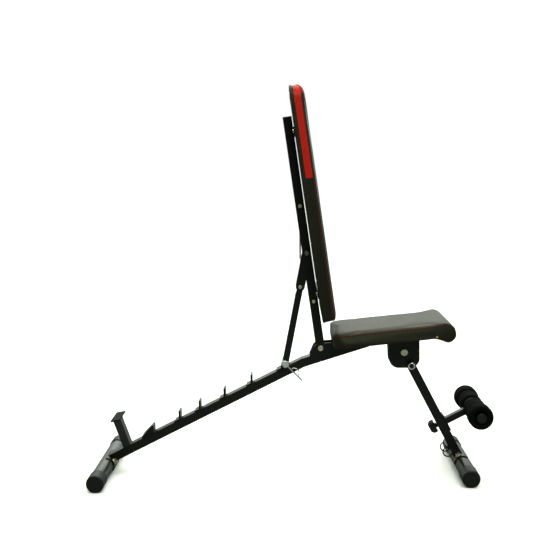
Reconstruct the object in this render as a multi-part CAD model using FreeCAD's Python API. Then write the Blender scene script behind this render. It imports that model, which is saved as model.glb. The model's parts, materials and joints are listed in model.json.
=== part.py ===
import FreeCAD, Part
import math
import os

# Adjustable weight bench, millimetres. +X points to the front (seat) end, +Z up, y = 0 is the plane of
# symmetry. The origin lies on the floor under the middle of the bench.

V = FreeCAD.Vector

# ---- driving dimensions -------------------------------------------------------------------------
TUBE_H = 28.0            # side-view height of the main tubes
TUBE_W = 40.0            # width of the main tubes across the bench
TUBE_WALL = 2.0
MOVING_W = 38.0          # width of the tubes that swing between plates
PLATE_T = 4.0            # hinge and bracket plates

STAB_R = 25.0            # stabiliser tubes
CAP_R = 27.5             # their plastic end caps
CAP_LEN = 52.0
STAB_Z = 26.6            # height of the stabiliser axis: the caps have a flat 0.9 mm deep
REAR_X = -591.8
FRONT_X = 546.8
REAR_HALF = 203.0        # half length over the caps
FRONT_HALF = 177.0

FRAME_BOTTOM = ((-548.3, 42.9), (50.4, 341.4), (252.0, 403.9))   # lower edge of the bent main tube
PIVOT = (100.0, 402.0)   # backrest pivot
BACK_ANGLE = 97.6        # backrest direction at rest, from +X
RECLINE_MAX = 99.7
BACK_TUBE_LEN = 729.0
STRUT_PIVOT_U = 304.0    # holes along the backrest tube
ANCHOR_U = 452.0
LOWER_BOLT_U = 150.0

BAR_R = 11.0             # strut foot bar that drops behind the catches
FIRST_NOTCH_X = -11.0
CATCH_X = (-120.5, -207.2, -287.5, -352.8, -440.0)   # middle of each tall catch
CATCH_T = 6.0
CATCH_TALL = 29.0
FORK_LEN = 108.0         # strut pivot to the strut's clamp bolt
FORK_GAP = 0.6

PAD_HALF_W = 138.0
BOARD_T = 12.0
BACK_PAD = (101.0, 812.0, 18.0, 61.0)     # along the tube (from, to), then out from it (back, front)
SEAT_ORIGIN = (242.0, 429.5)
SEAT_ANGLE = 5.86
SEAT_PAD = (-105.5, 234.0, 41.0)          # rear, start of the nose, thickness
NOSE_R = 29.0

LEG_PIVOT = (362.8, 386.5)
LOCK_S = 44.0            # pull pin, down the leg from its pivot
ARM_S = 264.6            # roller arm, down the leg from its pivot
ARM_W = 24.0
ROLLER_OUT = 113.4       # roller axis, out from the leg
ROLLER_R = 38.0
ROLLER_MID_R = 34.5       # inner part of each foam roller
ROLLER_NECK_R = 30.5
ROLLER_NECK_Y = 77.0      # groove round the foam, out from the middle
ROLLER_HALF = 135.0
ROLLER_IN = 12.7          # inner face of the foam, clear of the arm
AXLE_R = 11.0
RING_R = 15.0            # band rings, to the middle of the wire
RING_WIRE_R = 2.0
RING_S = 338.0

REST_U = 691.0            # rest plate, along the lowered backrest from its pivot
REST_GAP = 2.6
REST_HALF = 15.0
REST_TILT = 11.2
POST_LEAN = 108.9         # the post leans back
POST_H = 25.0
SADDLE_HALF = 42.0       # curved plates that seat the frame ends on the stabilisers
SADDLE_GAP = 0.05
SADDLE_OUT_R = STAB_R + 3.1
SADDLE_BOLT_Y = 31.0
SADDLE_BOLT_R = 4.0

LUG_HALF_W = 34.0        # lug behind the leg for the band rings
LUG_OUT = (-20.0, -14.0)
RING_Y = 26.0

BOARD_HALF_W = 131.5
BOARD_GAP = 0.3          # pad to board
SEAT_BOARD = (-99.0, 232.0)
SCREW_Y = 85.0
SEAT_BARS = (-62.0, 150.0)
SIDE_SCREW = (206.0, 6.5)
SIDE_SCREW_R = 1.5
MOUNT_PLATES = (180.0, 680.0)
MOUNT_SCREW_Y = 70.0
SCREW_R = 2.95
SCREW_HEAD_R = 6.0

PULL_PIN_R = 4.0
PULL_PIN_OUT = 26.0      # knob's outer face, out from the bracket
BARREL_R = 10.0
BARREL_LEN = 16.0
PULL_KNOB_R = 11.5
KNOB_DISH = 4.0           # depth of the hollow in the pull knob's end

KNOB_R = 22.0
KNOB_LOBE_R = 7.0
KNOB_DOME_R = 24.2        # the knob's back is part of a ball
KNOB_LOBES = 5
KNOB_H = 21.0

BOLT_R = 3.95            # M8 bolts in 4 mm holes
BIG_BOLT_R = 5.0         # M10 hinge bolts
SOCKET_DEPTH = 2.2       # hex sockets in the domed heads

CLIP_Y = -33.0
CLIP_ANGLE = -46.5
CLIP_R = 2.5
CLIP_BOW_R = 15.0
SPRING_R = 1.6
SPRING_GAP = 5.0         # spring's line, out from the inner face of the fork

RUN_CLEAR = 0.06         # radial clearance of running fits


# ---- helpers ------------------------------------------------------------------------------------
def box(x0, x1, y0, y1, z0, z1):
    return Part.makeBox(x1 - x0, y1 - y0, z1 - z0, V(x0, y0, z0))


def prism(points, y0, y1):
    """A polygon in the side view, given as (x, z) points, made solid from y0 to y1."""
    loop = [V(x, y0, z) for x, z in points]
    return Part.Face(Part.makePolygon(loop + loop[:1])).extrude(V(0, y1 - y0, 0))


def rod(x, z, radius, y0, y1):
    """A round bar along Y."""
    return Part.makeCylinder(radius, y1 - y0, V(x, y0, z), V(0, 1, 0))


def rod_along(start, direction, radius, length):
    return Part.makeCylinder(radius, length, V(*start), V(*direction))


def hexagon(x, z, across, y0, y1):
    r = across / math.sqrt(3)
    turns = [math.radians(60 * i) for i in range(6)]
    corners = [(x + r * math.cos(a), z + r * math.sin(a)) for a in turns]
    return prism(corners, y0, y1)


def cross_bolt(x, z, radius, half, head=6.5, head_h=4.0):
    """A bolt across the bench: a domed head with a hex socket on the near side, a nut on the far side."""
    shank = rod(x, z, radius, -half, half)
    top = -half - head_h
    dome = rod(x, z, head, top, -half)
    dome = dome.makeFillet(head_h * 0.45, [dome.Edges[i] for i in rim_edges(dome, top)])
    dome = dome.cut(hexagon(x, z, head * 0.85, top - 1, top + SOCKET_DEPTH))
    nut = hexagon(x, z, head * 1.9, half, half + head_h + 1)
    return shank.fuse([dome, nut]).removeSplitter()


def rim_edges(shape, y):
    """The closed edges that lie in the plane at height y."""
    found = []
    for i, edge in enumerate(shape.Edges):
        bounds = edge.BoundBox
        if abs(bounds.YMin - y) < 1e-6 and abs(bounds.YMax - y) < 1e-6:
            found.append(i)
    return found


def place(shape, origin, angle):
    """Turn a shape drawn along +X so that it runs at the angle above +X, and move it to the origin."""
    moved = shape.copy()
    moved.rotate(V(0, 0, 0), V(0, 1, 0), -angle)
    moved.translate(V(origin[0], 0, origin[1]))
    return moved


def point_at(origin, angle, along, out=0.0):
    """World (x, z) of a point given along a direction and out to its left."""
    a = math.radians(angle)
    x = origin[0] + along * math.cos(a) - out * math.sin(a)
    z = origin[1] + along * math.sin(a) + out * math.cos(a)
    return x, z


def mirrored(shape):
    return shape.mirror(V(0, 0, 0), V(0, 1, 0))


def both_sides(shape):
    return Part.makeCompound([shape, mirrored(shape)])


def export(name, shape):
    for i, solid in enumerate(shape.Solids):
        if not solid.isValid() or solid.Volume <= 0:
            raise ValueError("%s solid %d is not valid" % (name, i))
    shape.exportStep(os.path.join("parts", name + ".step"))


def tube(length, start=0.0, height=TUBE_H, width=TUBE_W, wall=TUBE_WALL, cap_start=0.0, cap_end=0.0):
    """A rectangular tube along +X; the caps are the lengths left solid at its ends."""
    outer = box(start, length, -width / 2, width / 2, -height / 2, height / 2)
    edges = [e for e in outer.Edges if abs(e.Vertexes[0].Point.x - e.Vertexes[1].Point.x) > 1]
    outer = outer.makeFillet(3.0, edges)
    inner = box(start + cap_start, length - cap_end, -width / 2 + wall, width / 2 - wall,
                -height / 2 + wall, height / 2 - wall)
    return outer.cut(inner)


def rounded_plate(x0, x1, half_y, z0, z1, radius_start, radius_end):
    """A flat block, seen from above a rectangle with its own corner radius at each end."""
    block = box(x0, x1, -half_y, half_y, z0, z1)
    for radius, x in ((radius_start, x0), (radius_end, x1)):
        corners = [e for e in block.Edges
                   if abs(e.Vertexes[0].Point.x - x) < 1e-6 and abs(e.Vertexes[1].Point.x - x) < 1e-6
                   and abs(e.Vertexes[0].Point.z - e.Vertexes[1].Point.z) > 0.5 * (z1 - z0)]
        block = block.makeFillet(radius, corners)
    return block


# ---- places worked out from the dimensions ------------------------------------------------------
def direction(a, b):
    return math.degrees(math.atan2(b[1] - a[1], b[0] - a[0]))


REAR_SLOPE = direction(FRAME_BOTTOM[0], FRAME_BOTTOM[1])
FRONT_SLOPE = direction(FRAME_BOTTOM[1], FRAME_BOTTOM[2])
BEND = (REAR_SLOPE - FRONT_SLOPE) / 2
BEND_DEPTH = TUBE_H / math.cos(math.radians(BEND))
BEND_TOP = point_at(FRAME_BOTTOM[1], (REAR_SLOPE + FRONT_SLOPE) / 2, 0.0, BEND_DEPTH)
LEG_ANGLE = direction(LEG_PIVOT, (FRONT_X, STAB_Z))
LEG_LEN = math.dist(LEG_PIVOT, (FRONT_X, STAB_Z))
STRUT_PIVOT = point_at(PIVOT, BACK_ANGLE, STRUT_PIVOT_U)
ANCHOR = point_at(PIVOT, BACK_ANGLE, ANCHOR_U)


def frame_top(x):
    """Height of the main tube's upper face."""
    slope = REAR_SLOPE if x < BEND_TOP[0] else FRONT_SLOPE
    return BEND_TOP[1] + (x - BEND_TOP[0]) * math.tan(math.radians(slope))


NOTCH = (FIRST_NOTCH_X, frame_top(FIRST_NOTCH_X) + (BAR_R + 0.2) / math.cos(math.radians(REAR_SLOPE)))
STRUT_ANGLE = direction(STRUT_PIVOT, NOTCH) + 360
STRUT_LEN = math.dist(STRUT_PIVOT, NOTCH)
FOLDED_ANGLE = 10.8      # strut to backrest tube when the backrest is right down
EYE = point_at(STRUT_PIVOT, STRUT_ANGLE, 52.5, -10.0)


# ---- frame --------------------------------------------------------------------------------------
def main_tube_outline(inset, rear_x, front_x):
    """Side outline of the bent tube, moved inwards by the wall for its hollow."""
    low_bend = point_at(FRAME_BOTTOM[1], (REAR_SLOPE + FRONT_SLOPE) / 2, 0.0, inset)
    high_bend = point_at(BEND_TOP, (REAR_SLOPE + FRONT_SLOPE) / 2, 0.0, -inset)

    def along(start, slope, x):
        return x, start[1] + (x - start[0]) * math.tan(math.radians(slope))

    return [along(low_bend, REAR_SLOPE, rear_x), low_bend, along(low_bend, FRONT_SLOPE, front_x),
            along(high_bend, FRONT_SLOPE, front_x), high_bend, along(high_bend, REAR_SLOPE, rear_x)]


def seat_underside(shape, out):
    """Cut away what stands above the seat's mounting plane, out being below the board."""
    cutter = place(box(-400, 400, -60, 60, out, 120), SEAT_ORIGIN, SEAT_ANGLE)
    return shape.cut(cutter)


def main_tube():
    outer = prism(main_tube_outline(0, REAR_X, 252.0), -TUBE_W / 2, TUBE_W / 2)
    long_edges = [e for e in outer.Edges if abs(e.Vertexes[0].Point.x - e.Vertexes[1].Point.x) > 50]
    outer = outer.makeFillet(3.0, long_edges)
    inner_half = TUBE_W / 2 - TUBE_WALL
    inner = prism(main_tube_outline(TUBE_WALL, REAR_X - 5, 250.0), -inner_half, inner_half)
    shape = outer.cut(inner)
    shape = shape.cut(rod(REAR_X, STAB_Z, SADDLE_OUT_R, -60, 60))
    return seat_underside(shape, -3.0)


def catch(x, height):
    """One L-shaped catch: a foot welded on the tube and an upright that holds the strut's foot bar."""
    z = frame_top(x)
    slope = math.tan(math.radians(REAR_SLOPE))
    rear, heel, front = x - CATCH_T / 2 - 14, x - CATCH_T / 2, x + CATCH_T / 2
    outline = [(rear, z + (rear - x) * slope), (front, z + (front - x) * slope),
               (front, z + height), (heel + 1.5, z + height + 0.5), (heel, z + height - 1.5),
               (heel, z + (heel - x) * slope + 4), (rear, z + (rear - x) * slope + 4)]
    return prism(outline, -TUBE_W / 2, TUBE_W / 2)


def last_catch(x):
    """The rearmost catch has a long ramp behind it, up which the foot bar slides."""
    slope = math.tan(math.radians(REAR_SLOPE))
    z = frame_top(x)
    rear, front = x - 36.0, x + CATCH_T / 2
    outline = [(rear, z + (rear - x) * slope), (front, z + (front - x) * slope), (front, z + 26.0),
               (x - CATCH_T / 2, z + 24.5), (rear + 1.5, z + (rear - x) * slope + 9.0),
               (rear, z + (rear - x) * slope + 6.0)]
    return prism(outline, -TUBE_W / 2, TUBE_W / 2)


def ladder_catches():
    first = catch(NOTCH[0] - 9.3 - CATCH_T / 2, 12.0)
    middle = [catch(x, CATCH_TALL) for x in CATCH_X[:-1]]
    return Part.makeCompound([first] + middle + [last_catch(CATCH_X[-1])])


def pivot_plate():
    """Near side hinge plate of the backrest, welded on the flank of the main tube."""
    outline = [(58.0, frame_top(58) - 22), (66.0, frame_top(66) + 4), (78.0, 408.0), (90.0, 417.0),
               (138.0, 420.0), (148.0, 412.0), (150.0, frame_top(150) - 20)]
    plate = prism(outline, -TUBE_W / 2 - PLATE_T, -TUBE_W / 2)
    return plate.cut(rod(*PIVOT, BIG_BOLT_R + 0.05, -40, 0))


def rear_post_parts():
    """The post that carries the backrest when it is right down, and the plate on its top."""
    top = point_at(PIVOT, BACK_ANGLE + RECLINE_MAX, REST_U, TUBE_H / 2 + REST_GAP)
    plate = place(box(-REST_HALF, REST_HALF, -50, 50, -4, 0), top, REST_TILT)
    post = place(tube(0.0, -130.0, height=POST_H), (top[0] - 3.0, top[1] - 3.0), POST_LEAN)
    post = post.cut(place(box(-60, 60, -60, 60, -4.0, 90), top, REST_TILT))
    outline = main_tube_outline(0, REAR_X, 252.0)
    post = post.cut(prism(outline, -40, 40))
    floor = outline[0][1] - 200
    below = [(outline[0][0], floor), (252.0, floor), outline[2], outline[1], outline[0]]
    post = post.cut(prism(below, -40, 40))
    return max(post.Solids, key=lambda s: s.Volume), plate


def stabiliser(x, half, bolt_angle):
    shape = rod(x, STAB_Z, STAB_R, -half + 3, half - 3).cut(rod(x, STAB_Z, STAB_R - 2, -half, half))
    for y in (-SADDLE_BOLT_Y, SADDLE_BOLT_Y):
        shape = shape.cut(saddle_bolt_body(x, y, bolt_angle, SADDLE_BOLT_R, 10.0, 40.0))
    return shape


def saddle_bolt_body(x, y, angle, radius, start, end):
    """A cylinder on a saddle bolt's line, at distances out from the stabiliser's axis."""
    return place(rod_along((start, y, 0), (1, 0, 0), radius, end - start), (x, STAB_Z), angle)


def saddle_bolt_hex(x, y, angle, across, start, end):
    r = across / math.sqrt(3)
    corners = [V(start, y + r * math.cos(math.radians(60 * i)), r * math.sin(math.radians(60 * i)))
               for i in range(6)]
    head = Part.Face(Part.makePolygon(corners + corners[:1])).extrude(V(end - start, 0, 0))
    return place(head, (x, STAB_Z), angle)


def saddle(x, angle):
    """A curved plate that seats the frame end on the stabiliser tube."""
    shell = rod(x, STAB_Z, SADDLE_OUT_R, -SADDLE_HALF, SADDLE_HALF)
    shell = shell.cut(rod(x, STAB_Z, STAB_R + SADDLE_GAP, -SADDLE_HALF, SADDLE_HALF))
    reach = 60.0
    sector = [(x, STAB_Z), point_at((x, STAB_Z), angle - 62, reach), point_at((x, STAB_Z), angle, reach * 1.6),
              point_at((x, STAB_Z), angle + 62, reach)]
    shape = shell.common(prism(sector, -SADDLE_HALF, SADDLE_HALF))
    for y in (-SADDLE_BOLT_Y, SADDLE_BOLT_Y):
        shape = shape.cut(saddle_bolt_body(x, y, angle, SADDLE_BOLT_R, 10.0, 40.0))
    return shape


def saddle_bolts(x, angle):
    bolts = []
    for y in (-SADDLE_BOLT_Y, SADDLE_BOLT_Y):
        shank = saddle_bolt_body(x, y, angle, BOLT_R, 14.0, STAB_R + 4.2)
        washer = saddle_bolt_body(x, y, angle, 9.5, STAB_R + 4.2, STAB_R + 5.9)
        head = saddle_bolt_hex(x, y, angle, 14.0, STAB_R + 5.9, STAB_R + 13.0)
        bolts.append(shank.fuse([washer, head]).removeSplitter())
    return Part.makeCompound(bolts)


def end_cap(x, half):
    """Near side cap: a sleeve over the tube with a rounded closed end and a flat foot."""
    cap = rod(x, STAB_Z, CAP_R, -half, -half + CAP_LEN)
    outer_rim = [cap.Edges[i] for i in rim_edges(cap, -half)]
    cap = cap.makeFillet(5.0, outer_rim)
    cap = cap.cut(rod(x, STAB_Z, STAB_R + SADDLE_GAP, -half + 3, -half + CAP_LEN + 1))
    return cap.cut(box(x - 40, x + 40, -half - 1, -half + CAP_LEN + 1, -10, 0))


# ---- seat ---------------------------------------------------------------------------------------
def seat_place(shape):
    return place(shape, SEAT_ORIGIN, SEAT_ANGLE)


def seat_rail():
    rail = tube(200.0, 0.0, height=20.0, width=TUBE_W, cap_end=2.0)
    rail.translate(V(0, 0, -13.0))
    rail = seat_place(rail)
    return rail.cut(box(200, 252.2, -40, 40, 380, 480))


def seat_riser():
    """Fills the wedge between the rising main tube and the rear cross bar of the seat."""
    x0, x1 = 160.0, 200.0
    under = [point_at(SEAT_ORIGIN, SEAT_ANGLE, x - SEAT_ORIGIN[0], -3.0) for x in (x1, x0)]
    outline = [(x0, frame_top(x0)), (x1, frame_top(x1))] + under
    return prism(outline, -TUBE_W / 2, TUBE_W / 2)


def seat_cross_bars():
    bars = []
    for s in SEAT_BARS:
        bar = rounded_plate(s - 16, s + 16, 105.0, -3.0, 0.0, 8.0, 8.0)
        for y in (-SCREW_Y, SCREW_Y):
            bar = bar.cut(rod_along((s, y, -10), (0, 0, 1), 3.1, 20))
        bars.append(seat_place(bar))
    return Part.makeCompound(bars)


def seat_board():
    board = rounded_plate(*SEAT_BOARD, BOARD_HALF_W, 0.0, BOARD_T, 30.0, 50.0)
    for s in SEAT_BARS:
        for y in (-SCREW_Y, SCREW_Y):
            board = board.cut(rod_along((s, y, -1), (0, 0, 1), 3.0, 9.0))
    for side in (-1, 1):
        board = board.cut(side_screw_body(side, 126.0, 134.0, SIDE_SCREW_R + 0.05))
    return seat_place(board)


def side_screw_body(side, y0, y1, radius):
    """A short cylinder along the line of the cover's side screw, at distances out from the middle."""
    s, n = SIDE_SCREW
    return rod_along((s, side * y0, n), (0, side, 0), radius, y1 - y0)


def panel_screws(places, underside, board_depth):
    """Screws that hold a board: shank in the board, pan head against the bar."""
    screws = []
    for s, y in places:
        shank = rod_along((s, y, underside), (0, 0, 1), SCREW_R, board_depth)
        head = rod_along((s, y, underside - 3.0), (0, 0, 1), SCREW_HEAD_R, 3.0)
        screws.append(shank.fuse(head).removeSplitter())
    return screws


def seat_screws():
    places = [(s, y) for s in SEAT_BARS for y in (-SCREW_Y, SCREW_Y)]
    return Part.makeCompound([seat_place(s) for s in panel_screws(places, -3.0, 10.0)])


def seat_side_screws():
    """Small brass screws that pin the cover to the edge of the board near the nose."""
    screws = []
    for side in (-1, 1):
        shank = side_screw_body(side, 127.0, PAD_HALF_W, SIDE_SCREW_R)
        head = side_screw_body(side, PAD_HALF_W, PAD_HALF_W + 1.2, 3.5)
        screws.append(seat_place(shank.fuse(head).removeSplitter()))
    return Part.makeCompound(screws)


def seat_pad():
    """Foam and cover: it wraps the board's edges and rolls down over the front as a nose."""
    rear, nose_s, top = SEAT_PAD
    nose_n = top + 1.0 - NOSE_R
    a = V(rear, -PAD_HALF_W, 0)
    b = V(rear, -PAD_HALF_W, top - 4)
    c = V(rear + 5, -PAD_HALF_W, top)
    d = V(nose_s, -PAD_HALF_W, nose_n + NOSE_R)
    e = V(nose_s + NOSE_R, -PAD_HALF_W, nose_n)
    f = V(nose_s, -PAD_HALF_W, nose_n - NOSE_R)
    g = V(nose_s - 34, -PAD_HALF_W, 0)
    edges = [Part.LineSegment(a, b), Part.LineSegment(b, c), Part.LineSegment(c, d), Part.Arc(d, e, f),
             Part.LineSegment(f, g), Part.LineSegment(g, a)]
    face = Part.Face(Part.Wire([s.toShape() for s in edges]))
    block = face.extrude(V(0, 2 * PAD_HALF_W, 0))
    plan = rounded_plate(rear, nose_s + NOSE_R, PAD_HALF_W, -40.0, 80.0, 32.0, 52.0)
    pad = block.common(plan)
    pocket = rounded_plate(SEAT_BOARD[0] - BOARD_GAP, SEAT_BOARD[1] + BOARD_GAP, BOARD_HALF_W + BOARD_GAP,
                           -5.0, BOARD_T + BOARD_GAP, 30.3, 50.3)
    pad = pad.cut(pocket)
    for side in (-1, 1):
        pad = pad.cut(side_screw_body(side, 120.0, 150.0, SIDE_SCREW_R + 0.05))
    return seat_place(max(pad.Solids, key=lambda s: s.Volume))


# ---- front bracket and pull pin -----------------------------------------------------------------
LOCK = point_at(LEG_PIVOT, LEG_ANGLE, LOCK_S)


def front_bracket_plate():
    x0, x1, z0, radius = 312.5, 411.0, 336.0, 30.0
    top = [point_at(SEAT_ORIGIN, SEAT_ANGLE, x - SEAT_ORIGIN[0], -4.0) for x in (x1, x0)]
    y = -TUBE_W / 2
    diagonal = radius * (1 - math.cos(math.radians(45)))
    pts = {
        "left_top": V(top[1][0], y, top[1][1]), "left_low": V(x0 + 3, y, z0 + radius),
        "left_arc": V(x0 + 3 + diagonal, y, z0 + diagonal), "bottom_left": V(x0 + 3 + radius, y, z0),
        "bottom_right": V(x1 - radius, y, z0), "right_arc": V(x1 - diagonal, y, z0 + diagonal),
        "right_low": V(x1, y, z0 + radius), "right_top": V(top[0][0], y, top[0][1])}
    edges = [Part.LineSegment(pts["left_top"], pts["left_low"]),
             Part.Arc(pts["left_low"], pts["left_arc"], pts["bottom_left"]),
             Part.LineSegment(pts["bottom_left"], pts["bottom_right"]),
             Part.Arc(pts["bottom_right"], pts["right_arc"], pts["right_low"]),
             Part.LineSegment(pts["right_low"], pts["right_top"]),
             Part.LineSegment(pts["right_top"], pts["left_top"])]
    face = Part.Face(Part.Wire([e.toShape() for e in edges]))
    return face.extrude(V(0, -PLATE_T, 0))


def front_bracket():
    """Two cheeks welded on the flanks of the seat rail; the near one takes the pull pin."""
    cheek = front_bracket_plate().cut(rod(*LEG_PIVOT, BIG_BOLT_R + 0.05, -40, 40))
    near = cheek.cut(rod(*LOCK, PULL_PIN_R + RUN_CLEAR, -40, 0))
    return Part.makeCompound([near, mirrored(cheek)])


def pop_pin_barrel():
    y1 = -TUBE_W / 2 - PLATE_T
    y0 = y1 - BARREL_LEN
    barrel = rod(*LOCK, BARREL_R, y0, y1).cut(rod(*LOCK, 6.2, y0 + 3, y1))
    return barrel.cut(rod(*LOCK, PULL_PIN_R + RUN_CLEAR, y0 - 1, y1))


def pop_pin():
    """Sprung pin: nose in the cheek, a collar for the spring and a pull knob outside."""
    inner_face = -TUBE_W / 2
    outer_face = inner_face - PLATE_T
    knob_out, knob_in = outer_face - PULL_PIN_OUT, outer_face - BARREL_LEN - 1.0
    nose = rod(*LOCK, PULL_PIN_R, knob_out + KNOB_DISH, inner_face - 0.3)
    collar = rod(*LOCK, 5.9, outer_face - 2.0, outer_face - 0.2)
    knob = rod(*LOCK, PULL_KNOB_R, knob_out, knob_in)
    rims = rim_edges(knob, knob_out) + rim_edges(knob, knob_in)
    knob = knob.makeFillet(2.0, [knob.Edges[i] for i in rims])
    knob = knob.cut(rod(*LOCK, PULL_KNOB_R - 3.5, knob_out - 1, knob_out + KNOB_DISH))
    return nose.fuse([collar, knob]).removeSplitter()


def pop_pin_spring():
    """Outer shape of the return spring in the barrel, from the pin's collar to the barrel's end wall."""
    outer_face = -TUBE_W / 2 - PLATE_T
    y0, y1 = outer_face - BARREL_LEN + 3.2, outer_face - 2.2
    return rod(*LOCK, 5.5, y0, y1).cut(rod(*LOCK, 4.5, y0, y1))


# ---- front leg ----------------------------------------------------------------------------------
def leg_place(shape):
    return place(shape, LEG_PIVOT, LEG_ANGLE)


def front_leg():
    leg = tube(LEG_LEN, 0.0, width=MOVING_W, cap_start=14.0)
    leg = leg.fuse(rod(0, 0, TUBE_H / 2, -MOVING_W / 2, MOVING_W / 2)).removeSplitter()
    leg = leg.cut(rod(0, 0, BIG_BOLT_R + RUN_CLEAR, -40, 40))
    leg = leg.cut(rod(LOCK_S, 0, 4.3, -40, -10))
    leg = leg.cut(rod_along((ARM_S, 0, 0), (0, 0, -1), 4 + RUN_CLEAR, 20))
    leg = leg_place(leg)
    return leg.cut(rod(FRONT_X, STAB_Z, SADDLE_OUT_R, -60, 60))


def ring_tabs():
    """A flat lug behind the leg, with a hole on each side for a band ring."""
    lug = box(RING_S - 8, RING_S + 8, -LUG_HALF_W, LUG_HALF_W, *LUG_OUT)
    corners = [e for e in lug.Edges if abs(e.Vertexes[0].Point.z - e.Vertexes[1].Point.z) > 5]
    lug = lug.makeFillet(5.0, corners)
    for y in (-RING_Y, RING_Y):
        lug = lug.cut(rod_along((RING_S, y, -25), (0, 0, 1), 5.0, 20))
    return leg_place(lug)


RING_TOP = point_at(LEG_PIVOT, LEG_ANGLE, RING_S, sum(LUG_OUT) / 2)


def band_ring(y):
    centre = V(RING_TOP[0], y, RING_TOP[1] - RING_R)
    return Part.makeTorus(RING_R, RING_WIRE_R, centre, V(0, 1, 0))


def arm_bracket():
    plate = rounded_plate(ARM_S - 26, ARM_S + 32, MOVING_W / 2, 14.0, 18.0, 6.0, 6.0)
    return leg_place(plate)


def roller_arm():
    length = ROLLER_OUT - 27.0 - 18.0
    arm = tube(length, 0.0, height=20.0, width=ARM_W)
    arm.rotate(V(0, 0, 0), V(0, 1, 0), -90)
    arm.translate(V(ARM_S, 0, 18.0))
    return leg_place(arm)


ROLLER = point_at(LEG_PIVOT, LEG_ANGLE, ARM_S, ROLLER_OUT)


def roller_hub():
    hub = rod(*ROLLER, 27.0, -11, 11)
    hub = hub.makeFillet(2.0, [hub.Edges[i] for i in rim_edges(hub, -11) + rim_edges(hub, 11)])
    return hub.cut(rod(*ROLLER, AXLE_R + 0.05, -20, 20))


def roller_axle():
    outer = rod(*ROLLER, AXLE_R, -ROLLER_HALF + 4, ROLLER_HALF - 4)
    return outer.cut(rod(*ROLLER, AXLE_R - 1.5, -ROLLER_HALF, ROLLER_HALF))


def axle_plug():
    """Near side plug: pressed into the axle, its head keeps the foam roller on."""
    y = -ROLLER_HALF + 4
    head = rod(*ROLLER, 15.0, y - 4, y)
    head = head.makeFillet(1.8, [head.Edges[i] for i in rim_edges(head, y - 4)])
    return head.fuse(rod(*ROLLER, AXLE_R - 1.5, y, y + 18)).removeSplitter()


def roller_profile(points):
    """A ring of foam about the axle; points are (y, radius) along the near half."""
    loop = [V(ROLLER[0] + r, y, ROLLER[1]) for y, r in points]
    face = Part.Face(Part.makePolygon(loop + loop[:1]))
    return face.revolve(V(ROLLER[0], 0, ROLLER[1]), V(0, 1, 0), 360)


def roller_sleeve():
    """The plastic bush that the foam is glued to and that turns on the axle."""
    bore = AXLE_R + RUN_CLEAR
    outer_end, inner_end = -ROLLER_HALF + 4.5, -ROLLER_IN + 0.4
    outside = bore + 1.5
    return roller_profile([(outer_end, bore), (inner_end, bore), (inner_end, outside), (outer_end, outside)])


def foam_roller():
    """Foam with a groove round it, the near one of the pair."""
    bore = AXLE_R + RUN_CLEAR + 1.5
    end, inner = -ROLLER_HALF + 5, -ROLLER_IN
    groove = [(-ROLLER_NECK_Y + 6, ROLLER_MID_R), (-ROLLER_NECK_Y + 2, ROLLER_NECK_R),
              (-ROLLER_NECK_Y - 2, ROLLER_NECK_R), (-ROLLER_NECK_Y - 6, ROLLER_R)]
    return roller_profile([(end, bore), (inner, bore), (inner, ROLLER_MID_R - 2), (inner - 2, ROLLER_MID_R)]
                          + groove + [(end + 5, ROLLER_R), (end, ROLLER_R - 5)])


def arm_knob():
    """Five-lobed clamping knob with a domed back, behind the leg on the arm's line."""
    face = -20.0
    body = rod_along((ARM_S, 0, face), (0, 0, -1), KNOB_R - 8.0, KNOB_H)
    for i in range(KNOB_LOBES):
        a = 2 * math.pi * i / KNOB_LOBES
        reach = KNOB_R - KNOB_LOBE_R
        centre = (ARM_S + reach * math.cos(a), reach * math.sin(a), face)
        body = body.fuse(rod_along(centre, (0, 0, -1), KNOB_LOBE_R, KNOB_H))
    body = body.removeSplitter().common(Part.makeSphere(KNOB_DOME_R, V(ARM_S, 0, face)))
    boss = rod_along((ARM_S, 0, -14.4), (0, 0, -1), 8.0, 5.6)
    return leg_place(body.fuse(boss).removeSplitter())


def knob_stud():
    return leg_place(rod_along((ARM_S, 0, -4.0), (0, 0, -1), 4.0, 10.4))


# ---- backrest -----------------------------------------------------------------------------------
def back_place(shape):
    """Backrest parts are drawn along +X with -Z as the front, padded side."""
    return place(shape, PIVOT, BACK_ANGLE)


def cross_hole(shape, along, radius):
    return shape.cut(rod(along, 0, radius, -60, 60))


def backrest_tube():
    body = tube(BACK_TUBE_LEN - 3, 0.0, width=MOVING_W, cap_start=14.0)
    body = body.fuse(rod(0, 0, TUBE_H / 2, -MOVING_W / 2, MOVING_W / 2)).removeSplitter()
    body = cross_hole(body, 0, BIG_BOLT_R + RUN_CLEAR)
    for along in (STRUT_PIVOT_U, ANCHOR_U, LOWER_BOLT_U):
        body = cross_hole(body, along, 4.0)
    return back_place(body)


def backrest_tube_plug():
    half = MOVING_W / 2
    head = box(BACK_TUBE_LEN - 3, BACK_TUBE_LEN, -half, half, -14, 14)
    stem = box(BACK_TUBE_LEN - 15, BACK_TUBE_LEN - 3, -half + 2, half - 2, -12, 12)
    return back_place(head.fuse(stem).removeSplitter())


def backrest_mount_plates():
    plates = []
    for u in MOUNT_PLATES:
        plate = rounded_plate(u - 14, u + 14, 90.0, -BACK_PAD[2], -TUBE_H / 2, 6.0, 6.0)
        for y in (-MOUNT_SCREW_Y, MOUNT_SCREW_Y):
            plate = plate.cut(rod_along((u, y, -40), (0, 0, 1), 3.1, 40))
        plates.append(back_place(plate))
    return Part.makeCompound(plates)


def backrest_screws():
    screws = []
    for u in MOUNT_PLATES:
        for y in (-MOUNT_SCREW_Y, MOUNT_SCREW_Y):
            shank = rod_along((u, y, -TUBE_H / 2), (0, 0, -1), SCREW_R, 13.0)
            head = rod_along((u, y, -TUBE_H / 2), (0, 0, 1), SCREW_HEAD_R, 3.0)
            screws.append(back_place(shank.fuse(head).removeSplitter()))
    return Part.makeCompound(screws)


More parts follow.
